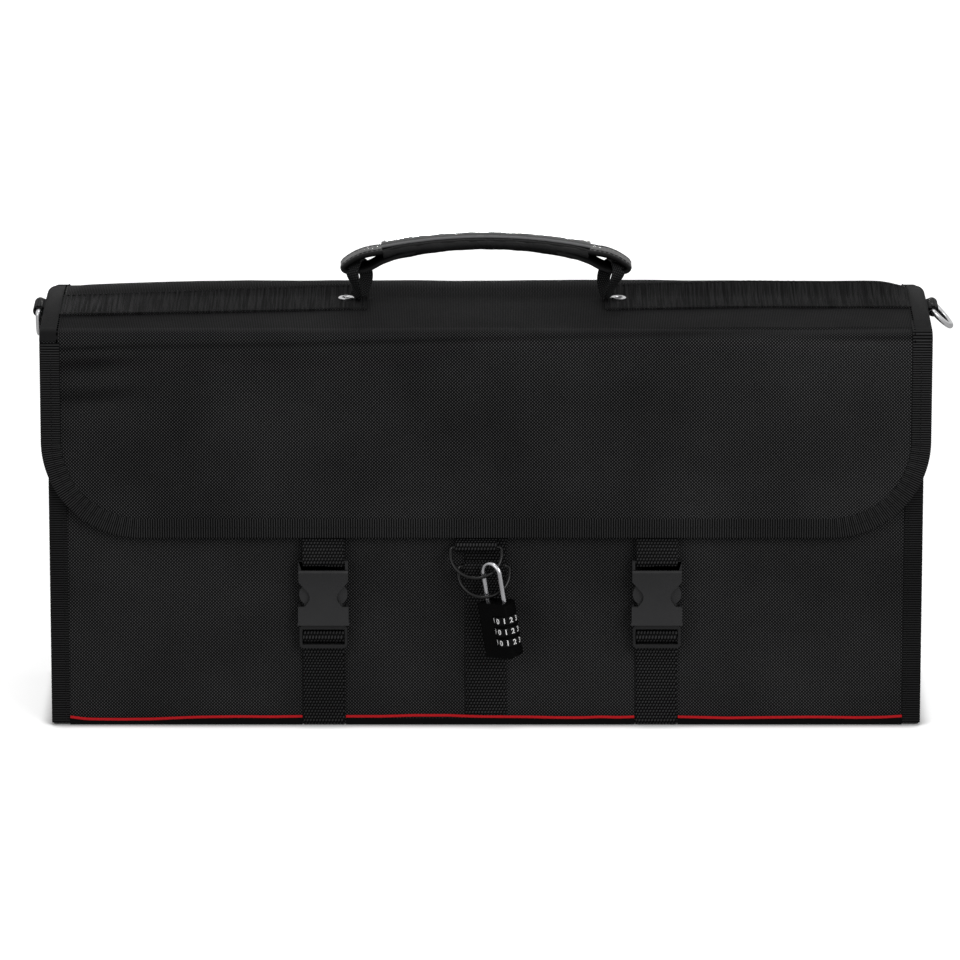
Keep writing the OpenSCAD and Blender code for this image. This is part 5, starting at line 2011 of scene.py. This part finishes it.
@dataclass
class Padlock:
    """The combination padlock and the two black rings that it holds together.

    Args:
        place: Middle of the body's top face.
        tilt: Lean of the body in its own plane, in degrees.
        yaw: Turn of the body about its height, in degrees.
        dial_x: Middle of the dials beside the body's middle.
        dial_r: Radius of a dial.
        first_z: Height of the top dial below the body's top face.
        pitch: Distance from dial to dial.
        digit: Height of a digit.
    """

    place: Triple = (6 * MM, -74.917 * MM, 83.03 * MM)
    tilt: float = 9.0
    yaw: float = 40.0
    dial_x: float = 5.2 * MM
    dial_r: float = 7.0 * MM
    first_z: float = -10.5 * MM
    pitch: float = 6.9 * MM
    digit: float = 3.3 * MM

    def seat_matrix(self) -> Matrix:
        """The turn and place of the padlock."""
        lean = Matrix.Rotation(math.radians(-self.tilt), 4, "Y")
        return Matrix.Translation(self.place) @ lean @ Matrix.Rotation(math.radians(-self.yaw), 4, "Z")

    def digits(self, finishes: Finishes, place: int) -> Object:
        """Prints the ten digits round one dial.

        Args:
            finishes: The case's materials.
            place: The dial's place, 0 at the top.

        Returns:
            The digits as one mesh.
        """
        matrix = self.seat_matrix()
        centre = Vector((self.dial_x, 0, self.first_z - place * self.pitch))
        parts = []
        for i in range(10):
            curve = bpy.data.curves.new(f"digit_{i}", "FONT")
            curve.body = str(i)
            curve.align_x, curve.align_y = "CENTER", "CENTER"
            curve.size = self.digit * 1.38
            curve.extrude = 0.05 * MM
            curve.offset = 0.11 * MM
            curve.resolution_u = 3
            text = linked(f"digit_{i}", curve)
            graph = bpy.context.evaluated_depsgraph_get()
            mesh = bpy.data.meshes.new_from_object(text.evaluated_get(graph))
            bpy.data.objects.remove(text)
            bpy.data.curves.remove(curve)
            for vert in mesh.vertices:
                angle = math.radians(-90 + 36 * i) + vert.co.x / self.dial_r
                r = self.dial_r + 0.03 * MM + vert.co.z
                vert.co = matrix @ (centre + Vector((r * math.cos(angle), r * math.sin(angle), vert.co.y)))
            parts.append(linked(f"digit_{i}", mesh))
        return dress(join(f"{DIALS[place]}_dial_digits", parts), finishes.digit)

    def build(self, finishes: Finishes) -> None:
        """Makes the lock, its dials and the rings."""
        body = dress(merged_copy("padlock_body", "padlock_case", 28), finishes.lacquer)
        seat(body, "padlock", "lock_black", "padlock_body")
        shackle = dress(merged_copy("shackle", "polished_shackle", 50), finishes.chrome)
        seat(shackle, "shackle", "chrome", "shackle")
        dress(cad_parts["dial_spindle"], finishes.nickel)
        for place, word in enumerate(DIALS):
            dial = dress(merged_copy(f"{word}_dial", f"{word}_dial_wheel", 28), finishes.dial)
            bevel(dial, 0.18 * MM, 2)
            seat(dial, f"{word}_dial", "dial_black", f"{word}_dial")
            seat(self.digits(finishes, place), f"{word}_dial", "dial_black")
        for word in ("upper", "lower"):
            ring = dress(merged_copy(f"{word}_ring", f"{word}_hasp_ring", 50), finishes.wire)
            seat(ring, f"{word}_ring", "black_wire", f"{word}_ring")


@dataclass(frozen=True)
class Wall:
    """A wall inside the case that knives are held on.

    Args:
        name: The first word of its pieces' names.
        body: The CAD body that carries it.
        matrix: Its turn and place.
        face: Depth position of its face.
        foot: Height of its blade sleeve's foot.
        height: Height of the sleeve.
    """

    name: str
    body: str
    matrix: Matrix
    face: float
    foot: float
    height: float


@dataclass
class Interior:
    """The knife holders: a swinging leaf and the back wall, each with a blade sleeve and elastic bands.

    Args:
        leaf_half: Half of the leaf's width.
        leaf_t: Thickness of the leaf.
        leaf_h: Height of the leaf.
        pivot: Depth position and height of the leaf's hinge.
        lean: Backward lean of the leaf at rest, in degrees.
        back_y: Depth position of the back wall's lining.
        sleeve: Left and right end of the blade sleeves.
        sleeve_t: Thickness of a sleeve.
        bands: Middles of the elastic bands.
        band_w: Width of an elastic band.
        loops: Loops on a band.
        rise: How far a loop stands off.
    """

    leaf_half: float = 249.2 * MM
    leaf_t: float = 3 * MM
    leaf_h: float = 206 * MM
    pivot: Pair = (16 * MM, 9.4 * MM)
    lean: float = 6.0
    back_y: float = 53.2 * MM
    sleeve: Pair = (-241.2 * MM, 20.8 * MM)
    sleeve_t: float = 1.4 * MM
    bands: Pair = (70 * MM, 190 * MM)
    band_w: float = 38 * MM
    loops: int = 6
    rise: float = 3 * MM

    def leaf_matrix(self) -> Matrix:
        """The place and lean of the leaf."""
        return Matrix.Translation((0, *self.pivot)) @ Matrix.Rotation(math.radians(-self.lean), 4, "X")

    def leaf(self, finishes: Finishes) -> None:
        """Covers the swinging board in lining cloth and sews a row of stitches round its edges."""
        matrix = self.leaf_matrix()
        t, half, height = self.leaf_t, self.leaf_half, self.leaf_h
        heights = between(0.0, height, 20)[1:-1]
        section = arc_points((0, 0), t / 2, 0, -180, 10) + [(-t / 2, h) for h in heights]
        section += arc_points((0, height - t / 2), t / 2, 180, 0, 8) + [(t / 2, h) for h in reversed(heights)]
        turn = matrix.to_3x3()
        ends = matrix @ (-AXIS_X * half), matrix @ (AXIS_X * half)
        stations = straight(*ends, 100, turn @ AXIS_Y, turn @ AXIS_Z)
        board = dress(sweep("leaf_board", stations, section), finishes.lining)
        seat(board, "knife_leaf", "lining", "knife_leaf")
        foot, head, reach = 6 * MM, height - 4 * MM, 0.992 * half
        corners = [(-reach, foot), (-reach, head), (reach, head), (reach, foot)]
        row = [matrix @ Vector((x, -t / 2 - 0.05 * MM, z)) for x, z in corners]
        finishes.seam("leaf_seam", [resample(row, 2 * MM)], "knife_leaf", "lining")

    def hinge(self, finishes: Finishes) -> None:
        """Sews the strip to the floor that the leaf turns in."""
        y, z = self.pivot[0] / MM, self.pivot[1] / MM
        outline = [(y - 9, 6.32), (y + 9, 6.32), (y + 9, 7.4), (y + 3.05, 7.4), (y + 3.05, z + 0.2)]
        outline += [(y + 1.9, z + 0.25)]
        outline += arc_points((y, z), 1.85, 0, -180, 10)
        outline += [(y - 1.9, z + 0.25), (y - 3.05, z + 0.2), (y - 3.05, 7.4), (y - 9, 7.4)]
        profile = [(a * MM, b * MM) for a, b in outline]
        end = AXIS_X * self.leaf_half
        stations = straight(-end, end, 60, AXIS_Y, AXIS_Z)
        strip = dress(sweep("leaf_hinge_strip", stations, profile), finishes.tape)
        seat(strip, "case", "binding_tape", "leaf_hinge_tape")

    def pocket(self, finishes: Finishes, wall: Wall) -> None:
        """Makes a flat sleeve with four sewn channels and a hem at its mouth."""
        matrix, y, z0, height = wall.matrix, wall.face, wall.foot, wall.height
        x0, x1 = self.sleeve
        rows: list[list[Vector]] = []
        uvs: list[list[Pair]] = []
        nx, nz = 90, 64
        channels = 4
        for j in range(nz + 1):
            z = height * j / nz
            row, places = [], []
            for i in range(nx + 1):
                x = x0 + (x1 - x0) * i / nx
                puff = abs(math.sin(math.pi * channels * j / nz)) ** 0.6
                hem = 0.55 * MM * shade(x - x1 + 12.5 * MM, 1 * MM)
                off = self.sleeve_t - 0.55 * MM * (1 - puff) + hem * 0.9
                off += 0.1 * MM * ripple(x, 0, z, 40 * MM) * puff
                row.append(matrix @ Vector((x, y - off, z0 + z)))
                places.append((x, z))
            row += [matrix @ Vector((x, y - 0.02 * MM, z0 + z)) for x in (x1, x0)]
            places += [(x1 + self.sleeve_t, z), (x0 - self.sleeve_t, z), (x0, z)]
            rows.append(row)
            uvs.append(places)
        sleeve = dress(ringed_object(f"{wall.name}_sleeve_cloth", rows, uvs), finishes.lining)
        seat(sleeve, wall.body, "lining", f"{wall.name}_blade_sleeve")
        seams = []
        for k in range(channels + 1):
            z = z0 + 1.2 * MM + (height - 2.4 * MM) * k / channels
            ends = (x0 + 1 * MM, x1 - 1 * MM)
            seams.append([matrix @ Vector((x, y - self.sleeve_t + 0.45 * MM, z)) for x in ends])
        mouth = Vector((x1 - 11 * MM, y - self.sleeve_t - 0.5 * MM, z0))
        seams.append([matrix @ (mouth + AXIS_Z * z) for z in (1 * MM, height - 1 * MM)])
        finishes.seam(f"{wall.name}_sleeve_cloth_seams", seams, wall.body, "lining")

    def band(self, finishes: Finishes, wall: Wall) -> None:
        """Makes two elastic bands sewn down between loops."""
        matrix, y, z0, height = wall.matrix, wall.face, wall.foot, wall.height - 4 * MM
        pitch = height / self.loops
        sewn, rise = 5 * MM, self.rise
        parts = []
        for k, x in enumerate(self.bands):
            places = []
            for i in range(self.loops):
                z = z0 + i * pitch
                first, last = z + sewn, z + pitch
                places += [(0.0, z + 0.5 * MM), (0.0, first - 0.6 * MM), (0.55 * rise, first + 1.8 * MM)]
                places += [(rise, first + 5.4 * MM), (rise, last - 5.4 * MM), (0.55 * rise, last - 1.8 * MM)]
            places += [(0.0, z0 + height + 0.5 * MM), (0.0, z0 + height + 4 * MM)]
            path = smooth_path([Vector((x, y - off, z)) for off, z in places], 0.9 * MM)
            profile = slab_profile(self.band_w, 1.15 * MM, 14)
            band = sweep(f"band_{k}", stations_along(path, across=AXIS_X), profile)
            band.data.transform(matrix)
            parts.append(band)
        bands = dress(join(f"{wall.name}_bands", parts), finishes.elastic)
        seat(bands, wall.body, "elastic", f"{wall.name}_elastic_bands")

    def build(self, finishes: Finishes) -> None:
        """Makes the leaf, its hinge, the sleeves and the bands."""
        self.leaf(finishes)
        self.hinge(finishes)
        for wall in (
            Wall("leaf", "knife_leaf", self.leaf_matrix(), -self.leaf_t / 2, 8 * MM, 192 * MM),
            Wall("back", "case", Matrix.Identity(4), self.back_y, 18.3 * MM, 150 * MM),
        ):
            self.pocket(finishes, wall)
            self.band(finishes, wall)


# Studio


@dataclass(frozen=True)
class Lamp:
    """A soft square lamp aimed at the case.

    Args:
        name: The lamp's name.
        place: Where it stands.
        size: Its side.
        power: Its power in watts.
    """

    name: str
    place: Triple
    size: float
    power: float


@dataclass(frozen=True)
class Studio:
    """The pale floor, the light and the camera at the photograph's angle.

    Args:
        elevation: The camera's height angle in degrees.
        distance: From the camera to its target.
        target_z: Height of the target.
        focal_px: Focal length in picture widths of IMAGE_PX.
        centre_px: Where the object's middle stands in the picture.
        contact: Reach of the dark line where the case meets the floor.
        sky: Strength of the plain light from all round.
        aim: The place that every lamp is aimed at.
        lamps: The key, fill, top and back lamps.
    """

    elevation: float = 15.2
    distance: float = 4.8
    target_z: float = 138.15 * MM
    focal_px: float = 7887.0
    centre_px: float = 486.0
    contact: float = 12 * MM
    sky: float = 0.42
    aim: Triple = (0, 0, 0.12)
    lamps: tuple[Lamp, ...] = (
        Lamp("Key", (1.5, -2.3, 1.5), 1.5, 34.0),
        Lamp("Fill", (-1.8, -2.2, 1.1), 1.8, 13.0),
        Lamp("Top", (-0.1, -0.3, 2.4), 0.3, 5.4),
        Lamp("Back", (0.0, 2.4, 0.16), 0.3, 20.0),
    )

    def camera(self) -> None:
        """Adds the camera."""
        data = bpy.data.cameras.new("Camera")
        data.sensor_fit = "HORIZONTAL"
        data.sensor_width = 36.0
        data.lens = self.focal_px / IMAGE_PX * data.sensor_width
        data.shift_x = -(self.centre_px - IMAGE_PX / 2) / IMAGE_PX
        data.clip_start, data.clip_end = 0.05, 60.0
        camera = linked("Camera", data)
        target = Vector((0, 0, self.target_z))
        lift = math.radians(self.elevation)
        camera.location = target + Vector((0, -math.cos(lift), math.sin(lift))) * self.distance
        camera.rotation_euler = (target - camera.location).to_track_quat("-Z", "Y").to_euler()
        bpy.context.scene.camera = camera

    def floor(self) -> None:
        """Adds the white floor, which keeps the object's shadow."""
        bm = bmesh.new()
        bmesh.ops.create_grid(bm, x_segments=1, y_segments=1, size=14.0)
        for vert in bm.verts:
            vert.co.z = -0.02 * MM
        floor = object_from_bmesh("studio_floor", bm)
        g = Graph("Studio floor")
        diffuse = g.node("ShaderNodeBsdfDiffuse", {"Color": (0.80, 0.80, 0.80, 1.0)})
        open_sky = g.node("ShaderNodeAmbientOcclusion", {"Distance": self.contact}).outputs["AO"]
        level = g.spread(open_sky, 0.5, 0.92, 0.62, 1.0)
        shown = g.node("ShaderNodeBsdfDiffuse", {"Color": (0.75, 0.75, 0.75, 1.0)})
        strength = g.math("MULTIPLY_ADD", level, 1.6, -0.88)
        glow = g.node("ShaderNodeEmission", {"Color": (1.0, 1.0, 1.0, 1.0), "Strength": strength})
        both = g.node("ShaderNodeAddShader", {0: shown.outputs[0], 1: glow.outputs[0]})
        ray = g.node("ShaderNodeLightPath").outputs["Is Camera Ray"]
        mix = g.node("ShaderNodeMixShader", {0: ray, 1: diffuse.outputs[0], 2: both.outputs[0]})
        g.output(mix.outputs[0])
        dress(floor, g.material)

    def world(self) -> None:
        """Lights from all round, and shows white behind the object."""
        world = bpy.data.worlds.new("Studio")
        bpy.context.scene.world = world
        world.use_nodes = True
        g = NodeTree(world.node_tree)
        rays = g.node("ShaderNodeLightPath").outputs
        seen = g.math("MAXIMUM", rays["Is Camera Ray"], rays["Is Transmission Ray"])
        seen = g.math("MAXIMUM", seen, rays["Is Glossy Ray"])
        plain = g.node("ShaderNodeBackground", {"Strength": self.sky}).outputs[0]
        white = g.node("ShaderNodeBackground").outputs[0]
        mix = g.node("ShaderNodeMixShader", {0: seen, 1: plain, 2: white}).outputs[0]
        g.node("ShaderNodeOutputWorld", {0: mix})

    def add(self, lamp: Lamp) -> None:
        """Adds one lamp."""
        data = bpy.data.lights.new(lamp.name, "AREA")
        data.shape = "SQUARE"
        data.size = lamp.size
        data.energy = lamp.power
        made = linked(lamp.name, data)
        made.location = lamp.place
        made.rotation_euler = (Vector(self.aim) - Vector(lamp.place)).to_track_quat("-Z", "Y").to_euler()

    def build(self) -> None:
        """Sets the studio up."""
        bpy.context.scene.view_settings.view_transform = "Standard"
        self.floor()
        self.world()
        for lamp in self.lamps:
            self.add(lamp)
        self.camera()


def main() -> None:
    """Builds the case piece by piece in the frame of the CAD model."""
    logging.basicConfig(level=logging.INFO, format="%(message)s")
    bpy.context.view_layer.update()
    Studio().build()
    finishes = Finishes()
    cover = CoverCloth()
    cover.build(finishes)
    BodyCloth().build(finishes)
    Bindings().build(finishes, cover)
    Straps().build(finishes)
    Piping().build(finishes)
    Buckles().build(finishes)
    LidFittings().build(finishes, cover)
    Handle().build(finishes)
    Padlock().build(finishes)
    Interior().build(finishes)


if __name__ == "__main__":
    main()
